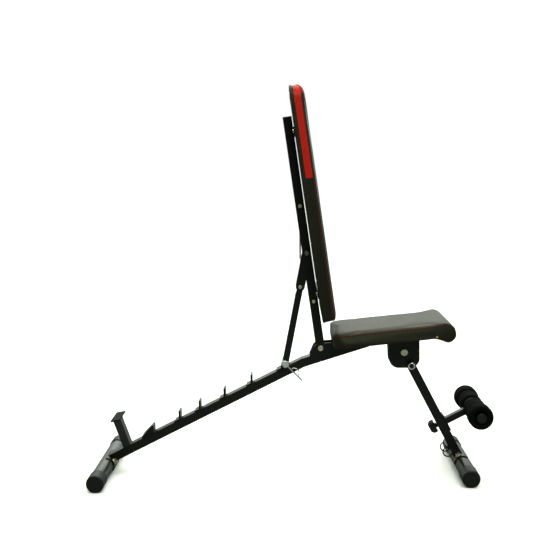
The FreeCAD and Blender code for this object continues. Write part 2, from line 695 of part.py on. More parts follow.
def backrest_board():
    start, end, back = BACK_PAD[0] + 6.5, BACK_PAD[1] - 6.5, -BACK_PAD[2]
    board = rounded_plate(start, end, BOARD_HALF_W, back - BOARD_T, back, 25.0, 55.0)
    for u in MOUNT_PLATES:
        for y in (-MOUNT_SCREW_Y, MOUNT_SCREW_Y):
            board = board.cut(rod_along((u, y, back + 1), (0, 0, -1), 3.0, 11.0))
    return back_place(board)


def backrest_pad():
    """Foam and cover around the board, rounded off towards the front at its top end."""
    start, end, back, front = BACK_PAD
    y = -PAD_HALF_W
    a = V(start, y, -back)
    b = V(start, y, -front + 6)
    c = V(start + 6, y, -front)
    d = V(end - 34, y, -front)
    e = V(end - 8, y, -front + 14)
    f = V(end, y, -front + 26)
    g = V(end, y, -back)
    edges = [Part.LineSegment(a, b), Part.LineSegment(b, c), Part.LineSegment(c, d), Part.Arc(d, e, f),
             Part.LineSegment(f, g), Part.LineSegment(g, a)]
    face = Part.Face(Part.Wire([s.toShape() for s in edges]))
    block = face.extrude(V(0, 2 * PAD_HALF_W, 0))
    pad = block.common(rounded_plate(start, end, PAD_HALF_W, -80, 0, 28.0, 60.0))
    pocket = rounded_plate(start + 6.2, end - 6.2, BOARD_HALF_W + BOARD_GAP, -back - BOARD_T - BOARD_GAP, 0.0,
                           25.3, 55.3)
    return back_place(pad.cut(pocket))


# ---- strut --------------------------------------------------------------------------------------
def strut_place(shape):
    """Strut parts are drawn along +X from the strut's pivot, +Z being the front side."""
    return place(shape, STRUT_PIVOT, STRUT_ANGLE)


FORK_IN = MOVING_W / 2 + FORK_GAP


def strut_plates():
    """Two fork plates that straddle the backrest tube."""
    y0, y1 = -FORK_IN - 3.0, -FORK_IN
    plate = box(0, FORK_LEN, y0, y1, -14, 14).fuse([rod(0, 0, 14, y0, y1), rod(FORK_LEN, 0, 14, y0, y1)])
    plate = plate.removeSplitter().cut(rod(0, 0, 4 + RUN_CLEAR, -60, 0)).cut(rod(FORK_LEN, 0, 4.0, -60, 0))
    far = mirrored(plate).cut(rod(52.5, -10.0, 2.5, 0, 60))
    return Part.makeCompound([strut_place(plate), strut_place(far)])


def strut_tube():
    """Square-cornered tube; its upper end is cut on the slant so that it folds under the backrest."""
    body = tube(STRUT_LEN - 6, FORK_LEN - 12, height=20.0, width=2 * FORK_IN, wall=1.8)
    a = math.radians(FOLDED_ANGLE)
    reach = TUBE_H / 2 + 1.2

    def skim(d):
        return d, (reach - d * math.sin(a)) / math.cos(a)

    shadow = [skim(60.0), skim(200.0), (200.0, -60.0), (60.0, -60.0)]
    body = body.cut(prism(shadow, -40, 40))
    body = body.cut(rod(FORK_LEN, 0, 4.0, -60, 60))
    body = body.cut(rod(STRUT_LEN, 0, BAR_R, -60, 60))
    return strut_place(max(body.Solids, key=lambda s: s.Volume))


def strut_bar():
    """Round foot bar across the strut's end, drilled near its end for the clip."""
    bar = rod(*NOTCH, BAR_R, -40, 40)
    bar = bar.makeFillet(1.5, [bar.Edges[i] for i in rim_edges(bar, -40) + rim_edges(bar, 40)])
    hole = place(rod_along((-30, CLIP_Y, 0), (1, 0, 0), CLIP_R + RUN_CLEAR, 60), NOTCH, CLIP_ANGLE)
    return bar.cut(hole)


def hitch_clip():
    """Bent wire clip: a straight leg through the foot bar and a bow beside it."""
    leg = rod_along((-15, CLIP_Y, 0), (1, 0, 0), CLIP_R, 90)
    bow = Part.makeTorus(CLIP_BOW_R, 1.6, V(40.0, CLIP_Y, 0), V(0, 1, 0))
    bow = bow.common(box(10, 70, CLIP_Y - 10, CLIP_Y + 10, 0.0, 30))
    return place(leg.fuse(bow).removeSplitter(), NOTCH, CLIP_ANGLE)


def spring_hook_pin():
    y = FORK_IN
    pin = rod(*EYE, 2.45, y, y + 9.0)
    return pin.fuse(rod(*EYE, 4.0, y + 7.0, y + 9.0)).removeSplitter()


def assist_spring():
    """Outer shape of the thin tension spring between the backrest tube and the strut fork."""
    y = FORK_IN + SPRING_GAP
    gap_top, gap_low = 4.6, 3.0
    length = math.dist(ANCHOR, EYE)
    along = direction(ANCHOR, EYE)
    start = point_at(ANCHOR, along, gap_top)
    a = math.radians(along)
    down = (math.cos(a), 0, math.sin(a))
    return rod_along((start[0], y, start[1]), down, SPRING_R, length - gap_top - gap_low)


# ---- bolts --------------------------------------------------------------------------------------
def washers(x, z, inner, y0, y1):
    ring = rod(x, z, 11.0, y0, y1).cut(rod(x, z, inner, y0, y1))
    return both_sides(ring)


def spring_anchor_bolt():
    """Bolt through the backrest tube; its long far end holds the spring."""
    near = MOVING_W / 2
    shank = rod(*ANCHOR, BOLT_R, -near, near + 12)
    head = rod(*ANCHOR, 6.0, -near - 4, -near)
    nut = hexagon(*ANCHOR, 11.0, near, near + 2.5)
    end = rod(*ANCHOR, 5.5, near + 10, near + 12)
    return shank.fuse([head, nut, end]).removeSplitter()


def main():
    os.makedirs("parts", exist_ok=True)
    plate_out = TUBE_W / 2 + PLATE_T
    fork_out = FORK_IN + 3.0

    post, rest_plate = rear_post_parts()
    export("main_tube", main_tube())
    export("ladder_catches", ladder_catches())
    export("pivot_plates", both_sides(pivot_plate()))
    export("backrest_pivot_bolt", cross_bolt(*PIVOT, BIG_BOLT_R, plate_out, head=9.0, head_h=4.5))
    export("pivot_washers", washers(*PIVOT, 5.3, MOVING_W / 2 + 0.1, TUBE_W / 2))
    export("rear_post", post)
    export("rear_rest_plate", rest_plate)
    export("rear_stabiliser", stabiliser(REAR_X, REAR_HALF, REAR_SLOPE))
    export("rear_saddle", saddle(REAR_X, REAR_SLOPE))
    export("rear_saddle_bolts", saddle_bolts(REAR_X, REAR_SLOPE))
    export("rear_cap_left", mirrored(end_cap(REAR_X, REAR_HALF)))
    export("rear_cap_right", end_cap(REAR_X, REAR_HALF))

    export("seat_rail", seat_rail())
    export("seat_riser", seat_riser())
    export("seat_cross_bars", seat_cross_bars())
    export("seat_board", seat_board())
    export("seat_pad", seat_pad())
    export("seat_screws", seat_screws())
    export("seat_side_screws", seat_side_screws())

    export("front_bracket", front_bracket())
    export("leg_pivot_bolt", cross_bolt(*LEG_PIVOT, BIG_BOLT_R, plate_out, head=11.5, head_h=5.0))
    export("pop_pin_barrel", pop_pin_barrel())
    export("pop_pin", pop_pin())
    export("pop_pin_spring", pop_pin_spring())

    leg_up = LEG_ANGLE + 180
    export("front_leg", front_leg())
    export("front_stabiliser", stabiliser(FRONT_X, FRONT_HALF, leg_up))
    export("front_saddle", saddle(FRONT_X, leg_up))
    export("front_saddle_bolts", saddle_bolts(FRONT_X, leg_up))
    export("front_cap_left", mirrored(end_cap(FRONT_X, FRONT_HALF)))
    export("front_cap_right", end_cap(FRONT_X, FRONT_HALF))
    export("ring_tabs", ring_tabs())
    export("band_ring_left", band_ring(RING_Y))
    export("band_ring_right", band_ring(-RING_Y))
    export("arm_bracket", arm_bracket())
    export("roller_arm", roller_arm())
    export("roller_hub", roller_hub())
    export("roller_axle", roller_axle())
    export("axle_plugs", both_sides(axle_plug()))
    export("roller_sleeve_left", mirrored(roller_sleeve()))
    export("roller_sleeve_right", roller_sleeve())
    export("foam_roller_left", mirrored(foam_roller()))
    export("foam_roller_right", foam_roller())
    export("arm_knob", arm_knob())
    export("knob_stud", knob_stud())

    lower_bolt = point_at(PIVOT, BACK_ANGLE, LOWER_BOLT_U)
    strut_bolt_at = point_at(STRUT_PIVOT, STRUT_ANGLE, FORK_LEN)
    export("backrest_tube", backrest_tube())
    export("backrest_tube_plug", backrest_tube_plug())
    export("backrest_mount_plates", backrest_mount_plates())
    export("backrest_screws", backrest_screws())
    export("backrest_board", backrest_board())
    export("backrest_pad", backrest_pad())
    export("backrest_lower_bolt", cross_bolt(*lower_bolt, BOLT_R, MOVING_W / 2, head=6.0))
    export("spring_anchor_bolt", spring_anchor_bolt())
    export("strut_pivot_bolt", cross_bolt(*STRUT_PIVOT, 4.0, fork_out + 0.4, head=7.0, head_h=3.0))
    export("strut_plates", strut_plates())
    export("strut_tube", strut_tube())
    export("strut_clamp_bolt", cross_bolt(*strut_bolt_at, BOLT_R, fork_out, head=6.0, head_h=3.5))
    export("strut_bar", strut_bar())
    export("hitch_clip", hitch_clip())
    export("spring_hook_pin", spring_hook_pin())
    export("assist_spring", assist_spring())

    turn = STRUT_ANGLE - BACK_ANGLE - FOLDED_ANGLE
    print("recline %.1f deg, strut turns %.4f deg per degree" % (RECLINE_MAX, turn / RECLINE_MAX))
    print("strut pivot %.2f %.2f, leg lock %.2f %.2f" % (*STRUT_PIVOT, *LOCK))
    print("roller axle %.2f %.2f, ring top %.2f %.2f" % (*ROLLER, *RING_TOP))


main()
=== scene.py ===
# %% [markdown]
# An adjustable weight bench: a folding steel frame, a seat and a backrest in vinyl over foam, two foam
# leg rollers. The steel is exact already, so it is loaded and only gets its finish. What the design can't
# hold is made here: stretched covers with their piping, stitches and hem, foam, wound springs and weld beads.

# %% Load the exact frame
import json
import math

import bmesh
import bpy
import numpy as np
from mathutils import Matrix, Vector
from mathutils.bvhtree import BVHTree


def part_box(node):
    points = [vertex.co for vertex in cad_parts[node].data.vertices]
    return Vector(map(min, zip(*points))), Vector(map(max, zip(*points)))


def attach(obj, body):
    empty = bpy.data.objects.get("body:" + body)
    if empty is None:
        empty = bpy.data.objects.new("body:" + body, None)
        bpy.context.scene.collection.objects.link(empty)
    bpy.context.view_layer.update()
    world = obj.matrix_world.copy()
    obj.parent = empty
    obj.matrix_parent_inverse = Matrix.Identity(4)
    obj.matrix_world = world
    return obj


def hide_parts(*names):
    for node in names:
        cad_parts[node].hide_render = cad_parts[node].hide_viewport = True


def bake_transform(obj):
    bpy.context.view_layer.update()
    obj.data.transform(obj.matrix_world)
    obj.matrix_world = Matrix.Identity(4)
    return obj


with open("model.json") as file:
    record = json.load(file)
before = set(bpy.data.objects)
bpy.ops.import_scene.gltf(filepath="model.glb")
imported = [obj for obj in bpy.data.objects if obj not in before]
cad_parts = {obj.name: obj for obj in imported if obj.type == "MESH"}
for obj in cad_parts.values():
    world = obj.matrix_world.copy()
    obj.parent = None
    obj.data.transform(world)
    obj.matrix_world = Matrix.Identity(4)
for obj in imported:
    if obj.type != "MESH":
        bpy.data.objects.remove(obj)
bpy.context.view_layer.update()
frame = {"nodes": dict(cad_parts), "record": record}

MM = 0.001
NODES = frame["nodes"]

# %% [markdown]
# The camera stands to one side, a little above seat height. It is placed from the middle of the bench,
# and its three turns are applied in the order a tripod has them: round, down, then the small lean.

# %% Camera
CAMERA_AT = Vector((0.0146, -2.730, 0.986))
TURN, TILT, LEAN = (math.radians(a) for a in (1.713, 6.794, -0.916))
LENS = 58.98
forward = Vector((-math.sin(TURN) * math.cos(TILT), math.cos(TURN) * math.cos(TILT), -math.sin(TILT)))
level_right = Vector((math.cos(TURN), math.sin(TURN), 0))
level_up = level_right.cross(forward)
right = math.cos(LEAN) * level_right + math.sin(LEAN) * level_up
up = math.cos(LEAN) * level_up - math.sin(LEAN) * level_right
camera = bpy.data.objects.new("camera", bpy.data.cameras.new("camera"))
camera.data.lens = LENS
camera.matrix_world = Matrix.Translation(CAMERA_AT) @ Matrix((right, up, -forward)).transposed().to_4x4()
bpy.context.scene.collection.objects.link(camera)
bpy.context.scene.camera = camera
print("camera", [round(c, 3) for c in camera.location])

# %% [markdown]
# Studio light: a wide soft box overhead and a second one behind, so that every upward face of the black
# paint picks up a pale sheen while the sides stay dark, and a weak one in front to open the shadows.
# The world is white to the eye, and dimmer towards the front where it lights and reflects.


# %% Lights, world and floor
def soft_box(name, place, aim, size, power):
    light = bpy.data.objects.new(name, bpy.data.lights.new(name, "AREA"))
    light.data.shape = "RECTANGLE"
    light.data.size, light.data.size_y = size
    light.data.energy = power
    light.location = place
    light.rotation_euler = (Vector(aim) - Vector(place)).to_track_quat("-Z", "Y").to_euler()
    bpy.context.scene.collection.objects.link(light)
    return light


LIGHT_TINT = (0.94, 1.0, 0.90)
soft_box("overhead", (0.0, 0.5, 3.2), (0, 0, 0.4), (3.4, 2.6), 40)
soft_box("behind", (0.2, 3.6, 2.0), (0, 0, 0.5), (4.2, 2.0), 35)
soft_box("front_fill", (0.9, -3.0, 2.9), (0, 0, 0.7), (1.8, 1.2), 75)
ceiling = bpy.data.objects.new("ceiling", bpy.data.lights.new("ceiling", "SUN"))
ceiling.data.energy = 3.0
ceiling.data.angle = math.radians(100)
ceiling.rotation_euler = (math.radians(-12), 0, 0)
bpy.context.scene.collection.objects.link(ceiling)
for light in [o for o in bpy.data.objects if o.type == "LIGHT"]:
    light.data.color = LIGHT_TINT

DIM_AT_Y, BRIGHT_AT_Y = -0.3, 0.7
DIM, BRIGHT_ROOM = 0.05, 0.85
world = bpy.data.worlds.new("studio")
bpy.context.scene.world = world
world.use_nodes = True
sky = world.node_tree
sky.nodes.clear()
sky_out = sky.nodes.new("ShaderNodeOutputWorld")
seen = sky.nodes.new("ShaderNodeLightPath")
white, room, pick = (sky.nodes.new(t) for t in
                     ("ShaderNodeBackground", "ShaderNodeBackground", "ShaderNodeMixShader"))
white.inputs["Color"].default_value = (1, 1, 1, 1)
way = sky.nodes.new("ShaderNodeTexCoord")
split = sky.nodes.new("ShaderNodeSeparateXYZ")
fade = sky.nodes.new("ShaderNodeMapRange")
fade.inputs["From Min"].default_value = DIM_AT_Y
fade.inputs["From Max"].default_value = BRIGHT_AT_Y
fade.inputs["To Min"].default_value = DIM
fade.inputs["To Max"].default_value = BRIGHT_ROOM
room.inputs["Color"].default_value = (*LIGHT_TINT, 1)
sky.links.new(way.outputs["Generated"], split.inputs[0])
sky.links.new(split.outputs["Y"], fade.inputs["Value"])
sky.links.new(fade.outputs[0], room.inputs["Strength"])
sky.links.new(seen.outputs["Is Camera Ray"], pick.inputs[0])
sky.links.new(room.outputs[0], pick.inputs[1])
sky.links.new(white.outputs[0], pick.inputs[2])
sky.links.new(pick.outputs[0], sky_out.inputs[0])
bpy.context.scene.view_settings.view_transform = "Standard"

FLOOR_HALF = 20.0
FLOOR_Z = -0.5 * MM
corners = ((-FLOOR_HALF, -FLOOR_HALF), (FLOOR_HALF, -FLOOR_HALF), (FLOOR_HALF, FLOOR_HALF),
           (-FLOOR_HALF, FLOOR_HALF))
floor_mesh = bpy.data.meshes.new("floor")
floor_mesh.from_pydata([(x, y, FLOOR_Z) for x, y in corners], [], [(0, 1, 2, 3)])
floor = bpy.data.objects.new("floor", floor_mesh)
bpy.context.scene.collection.objects.link(floor)

# %% [markdown]
# Finishes share a few effects, each built once as a node group that gives out only masks and heights.
# `noise_field` is a two-scale unevenness, `hide_grain` the pebbled surface of vinyl, `worn_edge` finds
# edges by comparing the rounded normal with the true one.


# %% Node group helpers
def new_group(name, inputs, outputs):
    tree = bpy.data.node_groups.new(name, "ShaderNodeTree")
    for label, kind, value in inputs:
        socket = tree.interface.new_socket(name=label, in_out="INPUT", socket_type=kind)
        if value is not None:
            socket.default_value = value
    for label, kind in outputs:
        tree.interface.new_socket(name=label, in_out="OUTPUT", socket_type=kind)
    return tree, tree.nodes.new("NodeGroupInput"), tree.nodes.new("NodeGroupOutput")


def node(tree, kind, values=(), **settings):
    made = tree.nodes.new("ShaderNode" + kind)
    for key, value in settings.items():
        setattr(made, key, value)
    for key, value in dict(values).items():
        if isinstance(value, bpy.types.NodeSocket):
            tree.links.new(value, made.inputs[key])
        else:
            made.inputs[key].default_value = value
    return made


def sum_up(tree, operation, a, b):
    return node(tree, "Math", {0: a, 1: b}, operation=operation).outputs[0]


# %% Unevenness, hide grain, foam pores, cloth weave and worn edges
def make_noise_field():
    tree, g_in, g_out = new_group("noise_field", [("Vector", "NodeSocketVector", None),
                                                  ("Fine", "NodeSocketFloat", 900.0),
                                                  ("Broad", "NodeSocketFloat", 14.0)],
                                  [("Height", "NodeSocketFloat"), ("Patches", "NodeSocketFloat")])
    at, fine_scale, broad_scale = (g_in.outputs[key] for key in ("Vector", "Fine", "Broad"))
    fine = node(tree, "TexNoise", {"Vector": at, "Scale": fine_scale, "Detail": 2.0})
    broad = node(tree, "TexNoise", {"Vector": at, "Scale": broad_scale, "Detail": 4.0})
    tree.links.new(fine.outputs["Fac"], g_out.inputs["Height"])
    tree.links.new(broad.outputs["Fac"], g_out.inputs["Patches"])
    return tree


def make_hide_grain():
    tree, g_in, g_out = new_group("hide_grain", [("Vector", "NodeSocketVector", None),
                                                 ("Scale", "NodeSocketFloat", 520.0),
                                                 ("Wrinkle", "NodeSocketFloat", 34.0)],
                                  [("Height", "NodeSocketFloat"), ("Crease Shade", "NodeSocketFloat"),
                                   ("Wrinkles", "NodeSocketFloat")])
    warp = node(tree, "TexNoise", {"Vector": g_in.outputs["Vector"], "Scale": 160.0})
    bent = node(tree, "MixRGB", {0: 0.004, 1: g_in.outputs["Vector"], 2: warp.outputs["Color"]},
                blend_type="ADD")
    cells = node(tree, "TexVoronoi", {"Vector": bent.outputs[0], "Scale": g_in.outputs["Scale"]},
                 feature="DISTANCE_TO_EDGE")
    pebble = node(tree, "MapRange", {"Value": cells.outputs["Distance"], "From Max": 0.16},
                  interpolation_type="SMOOTHSTEP")
    folds = node(tree, "TexNoise", {"Vector": g_in.outputs["Vector"], "Scale": g_in.outputs["Wrinkle"],
                                    "Detail": 3.0, "Roughness": 0.45})
    tree.links.new(pebble.outputs[0], g_out.inputs["Height"])
    # The crease mask is for painted shade: it marks the hollows between the grain's pebbles.
    tree.links.new(sum_up(tree, "SUBTRACT", 1.0, pebble.outputs[0]), g_out.inputs["Crease Shade"])
    tree.links.new(folds.outputs["Fac"], g_out.inputs["Wrinkles"])
    return tree


def make_pores():
    tree, g_in, g_out = new_group("foam_pores", [("Vector", "NodeSocketVector", None),
                                                 ("Scale", "NodeSocketFloat", 420.0)],
                                  [("Height", "NodeSocketFloat"), ("Pit Shade", "NodeSocketFloat")])
    cells = node(tree, "TexVoronoi", {"Vector": g_in.outputs["Vector"], "Scale": g_in.outputs["Scale"]})
    pit = node(tree, "MapRange", {"Value": cells.outputs["Distance"], "From Min": 0.1, "From Max": 0.45})
    tree.links.new(pit.outputs[0], g_out.inputs["Height"])
    # The pit mask is for painted shade in the foam's pits.
    tree.links.new(sum_up(tree, "SUBTRACT", 1.0, pit.outputs[0]), g_out.inputs["Pit Shade"])
    return tree


def make_weave():
    tree, g_in, g_out = new_group("plain_weave", [("Vector", "NodeSocketVector", None),
                                                  ("Scale", "NodeSocketFloat", 260.0)],
                                  [("Height", "NodeSocketFloat"), ("Thread Highlight", "NodeSocketFloat")])
    waves = []
    for direction in ("Y", "Z"):
        wave = node(tree, "TexWave", {"Vector": g_in.outputs["Vector"], "Scale": g_in.outputs["Scale"],
                                      "Distortion": 0.6}, bands_direction=direction)
        waves.append(wave.outputs["Fac"])
    threads = sum_up(tree, "MAXIMUM", *waves)
    tree.links.new(threads, g_out.inputs["Height"])
    # The crossing mask is for a painted highlight where warp and weft cross and stand highest.
    tree.links.new(sum_up(tree, "MULTIPLY", *waves), g_out.inputs["Thread Highlight"])
    return tree


def make_worn_edge():
    tree, g_in, g_out = new_group("worn_edge", [("Vector", "NodeSocketVector", None),
                                                ("Radius", "NodeSocketFloat", 0.0012)],
                                  [("Mask", "NodeSocketFloat"), ("Soft Normal", "NodeSocketVector")])
    soft = node(tree, "Bevel", {"Radius": g_in.outputs["Radius"]}, samples=4)
    true = node(tree, "NewGeometry")
    alike = node(tree, "VectorMath", {0: soft.outputs[0], 1: true.outputs["Normal"]},
                 operation="DOT_PRODUCT")
    edge = node(tree, "MapRange", {"Value": alike.outputs["Value"], "From Min": 0.995, "From Max": 0.86})
    rub = node(tree, "TexNoise", {"Vector": g_in.outputs["Vector"], "Scale": 90.0, "Detail": 5.0})
    rubbed = node(tree, "MapRange", {"Value": rub.outputs["Fac"], "From Min": 0.45, "From Max": 0.68})
    tree.links.new(sum_up(tree, "MULTIPLY", edge.outputs[0], rubbed.outputs[0]), g_out.inputs["Mask"])
    tree.links.new(soft.outputs[0], g_out.inputs["Soft Normal"])
    return tree


NOISE, GRAIN, PORES = make_noise_field(), make_hide_grain(), make_pores()
WEAVE, WORN = make_weave(), make_worn_edge()
print("node groups", [g.name for g in bpy.data.node_groups])

# %% [markdown]
# Every finish is a Principled shader with its own colours, and the groups above drive how its colour,
# roughness and relief change over the surface. Places are the piece's own coordinates, so a finish stays
# put when the bench folds.


# %% Material builder
class Finish:
    """A material with its Principled shader and the few links that all finishes share."""

    def __init__(self, name, **plain):
        self.material = bpy.data.materials.new(name)
        self.material.use_nodes = True
        self.tree = self.material.node_tree
        self.shader = self.tree.nodes["Principled BSDF"]
        self.at = node(self.tree, "TexCoord").outputs["Object"]
        for key, value in plain.items():
            self.shader.inputs[key.replace("_", " ")].default_value = value

    def group(self, kind, **values):
        made = node(self.tree, "Group")
        made.node_tree = kind
        self.tree.links.new(self.at, made.inputs["Vector"])
        for key, value in values.items():
            made.inputs[key].default_value = value
        return made.outputs

    def blend(self, mask, first, second):
        mix = node(self.tree, "Mix", data_type="RGBA")
        self.tree.links.new(mask, mix.inputs[0])
        for socket, colour in ((mix.inputs[6], first), (mix.inputs[7], second)):
            if isinstance(colour, bpy.types.NodeSocket):
                self.tree.links.new(colour, socket)
            else:
                socket.default_value = (*colour, 1)
        return mix.outputs[2]

    def spread(self, value, low, high):
        made = node(self.tree, "MapRange", {"Value": value, "To Min": low, "To Max": high})
        return made.outputs[0]

    def drive(self, socket, source):
        self.tree.links.new(source, self.shader.inputs[socket])

    def relief(self, *layers, normal=None):
        """Bumps one on another; each layer is a height, its depth in metres and its strength."""
        for height, depth, strength in layers:
            bump = node(self.tree, "Bump", {"Height": height, "Distance": depth, "Strength": strength})
            if normal is not None:
                self.tree.links.new(normal, bump.inputs["Normal"])
            normal = bump.outputs[0]
        self.drive("Normal", normal)
        return self.material


# %% Painted, plated and moulded finishes
def powder_coat(name, ior):
    """Black powder coat: faint orange peel, soft edges rubbed a little greyer."""
    f = Finish(name, IOR=ior)
    field, edge = f.group(NOISE, Fine=420.0, Broad=9.0), f.group(WORN, Radius=0.0012)
    base = f.blend(field["Patches"], (0.0040, 0.0050, 0.0042), (0.0075, 0.0090, 0.0078))
    f.drive("Base Color", f.blend(edge["Mask"], base, (0.03, 0.032, 0.03)))
    f.drive("Roughness", f.spread(field["Patches"], 0.20, 0.38))
    return f.relief((field["Height"], 0.0004, 0.10), normal=edge["Soft Normal"])


def plated(name, light, dark, low, high):
    """Plated steel: fine rolling marks and cloudy patches of plating."""
    f = Finish(name, Metallic=1.0)
    field, edge = f.group(NOISE, Fine=1500.0, Broad=120.0), f.group(WORN, Radius=0.0005)
    base = f.blend(field["Patches"], dark, light)
    f.drive("Base Color", f.blend(edge["Mask"], base, tuple(min(1, c * 1.25) for c in light)))
    f.drive("Roughness", f.spread(field["Patches"], low, high))
    return f.relief((field["Height"], 0.0002, 0.12), normal=edge["Soft Normal"])


def moulded(name, colour, low, high, tone=1.6):
    """Moulded plastic: spark-eroded texture, with the edges scuffed slightly paler."""
    f = Finish(name, IOR=1.33)
    field, edge = f.group(NOISE, Fine=1100.0, Broad=40.0), f.group(WORN, Radius=0.0008)
    base = f.blend(field["Patches"], colour, tuple(c * tone for c in colour))
    f.drive("Base Color", f.blend(edge["Mask"], base, tuple(c * 4 for c in colour)))
    f.drive("Roughness", f.spread(field["Patches"], low, high))
    return f.relief((field["Height"], 0.0003, 0.35), normal=edge["Soft Normal"])


def vinyl(name, colour, crease_shade, low, high, wrinkle_depth=0.0012):
    """Coated cloth pressed with a hide grain, stretched so that long soft wrinkles run through it."""
    f = Finish(name, IOR=1.26, Specular_Tint=(1.0, 1.0, 0.55, 1.0))
    grain, field = f.group(GRAIN), f.group(NOISE, Fine=1800.0, Broad=7.0)
    base = f.blend(field["Patches"], colour, tuple(c * 1.5 for c in colour))
    # The grain's creases take a darker colour: painted shade in the hollows of the grain.
    f.drive("Base Color", f.blend(grain["Crease Shade"], base, crease_shade))
    f.drive("Roughness", f.spread(field["Patches"], low, high))
    return f.relief((grain["Wrinkles"], wrinkle_depth, 0.25), (grain["Height"], 0.00022, 0.55))


def foam():
    """Skinned foam rubber: matt, pitted all over, with a slightly greyer bloom in patches."""
    f = Finish("black_foam_rubber", IOR=1.06)
    pores, field = f.group(PORES), f.group(NOISE, Fine=700.0, Broad=24.0)
    base = f.blend(field["Patches"], (0.0032, 0.0037, 0.0032), (0.0068, 0.0076, 0.0068))
    # The pits take a darker colour: painted shade in the hollows of the foam.
    f.drive("Base Color", f.blend(pores["Pit Shade"], base, (0.0015, 0.0015, 0.0015)))
    f.drive("Roughness", f.spread(field["Patches"], 0.62, 0.88))
    return f.relief((field["Height"], 0.0006, 0.3), (pores["Height"], 0.0005, 0.45))


def backing():
    """Thin black dust cloth over the plywood's back."""
    f = Finish("black_backing_cloth")
    weave, field = f.group(WEAVE), f.group(NOISE, Fine=600.0, Broad=18.0)
    base = f.blend(field["Patches"], (0.012, 0.012, 0.012), (0.026, 0.025, 0.024))
    # Where the threads cross the cloth is painted lighter: a painted highlight on the weave's raised points,
    # painted shade between them.
    f.drive("Base Color", f.blend(weave["Thread Highlight"], base, (0.045, 0.044, 0.042)))
    f.drive("Roughness", f.spread(field["Patches"], 0.82, 0.97))
    return f.relief((weave["Height"], 0.0004, 0.5))


PAINT = powder_coat("gloss_black_powder_coat", 1.28)
# A glossier and a duller copy of the same paint: a lit copy and a shaded copy, painted light and shade for
# single parts.
LIT_COPY_PAINT = powder_coat("lit_copy_powder_coat", 1.50)
SHADED_COPY_PAINT = powder_coat("shaded_copy_powder_coat", 1.05)
ZINC = plated("yellow_zinc", (0.80, 0.74, 0.55), (0.52, 0.47, 0.32), 0.22, 0.42)
BRIGHT = plated("bright_zinc", (0.86, 0.87, 0.86), (0.62, 0.64, 0.63), 0.14, 0.28)
SPRING = plated("dark_spring_wire", (0.30, 0.30, 0.29), (0.16, 0.16, 0.155), 0.28, 0.45)
BRASS = plated("brass", (0.80, 0.62, 0.26), (0.58, 0.43, 0.16), 0.20, 0.38)
PLASTIC = moulded("moulded_black_plastic", (0.0045, 0.0050, 0.0046), 0.38, 0.55)
BLACK_WIRE = moulded("black_coated_wire", (0.004, 0.004, 0.004), 0.30, 0.45)
BLACK_VINYL = vinyl("black_vinyl", (0.0085, 0.0085, 0.0070), (0.004, 0.004, 0.0035), 0.36, 0.52)
RED_VINYL = vinyl("red_vinyl", (0.44, 0.007, 0.006), (0.34, 0.005, 0.005), 0.36, 0.50, 0.0007)
PIPING = vinyl("dark_red_piping", (0.075, 0.008, 0.007), (0.06, 0.006, 0.006), 0.36, 0.5, 0.0002)
THREAD = moulded("black_thread", (0.020, 0.018, 0.017), 0.55, 0.75)
FOAM = foam()
CLOTH = backing()


def studio_floor():
    """Pale floor. The light that it throws back is kept low, so that black parts stay black."""
    f = Finish("pale_floor", IOR=1.0)
    field = f.group(NOISE, Fine=60.0, Broad=2.0)
    pale = f.blend(field["Patches"], (0.93, 0.93, 0.92), (0.96, 0.96, 0.95))
    seen_by = node(f.tree, "LightPath").outputs["Is Camera Ray"]
    f.drive("Base Color", f.blend(seen_by, (0.20, 0.21, 0.20), pale))
    f.drive("Roughness", f.spread(field["Patches"], 0.85, 0.95))
    return f.material


floor_mesh.materials.append(studio_floor())
print("materials", len(bpy.data.materials))

# %% [markdown]
# Each exact part takes the finish of its slot in the record, so that one short table dresses all of them.
# Three painted parts get copies of the one powder coat that stand in for light and shade: the rear post and
# stabiliser a glossier copy that reads lighter, the rest plate a duller copy that reads darker.

# %% Dress the exact parts
FINISH_OF = {"frame_paint": PAINT, "zinc_fastener": ZINC, "bright_steel": BRIGHT, "spring_steel": SPRING,
             "brass_screw": BRASS, "black_ring": BLACK_WIRE, "cap_plastic": PLASTIC, "roller_foam": FOAM,
             "pad_vinyl": BLACK_VINYL, "board_wood": CLOTH}
# Lit and shaded copies of the paint for three parts: painted light and shade, not a different coat.
LIT_AND_SHADED_COPIES = {"rear_post": LIT_COPY_PAINT, "rear_stabiliser": LIT_COPY_PAINT, "rear_rest_plate": SHADED_COPY_PAINT}
SLOT_OF = {s["node"]: s["material_slot"] for s in frame["record"]["subparts"]}
for name, part in NODES.items():
    part.data.materials.clear()
    usual = FINISH_OF[SLOT_OF[name]]
    part.data.materials.append(LIT_AND_SHADED_COPIES.get(name, usual))
print("dressed", len(NODES), "exact parts")

# %% [markdown]
# Pads lean with the part that they are on, so their shape is worked out in two slanted directions seen
# from the side: `along` the board and `out` from it. Both are read from the board itself: of all the long
# edges of its mesh, the one across which the board is thinnest shows how it lies.


# %% Slanted frames
SHORTEST_EDGE = 20 * MM


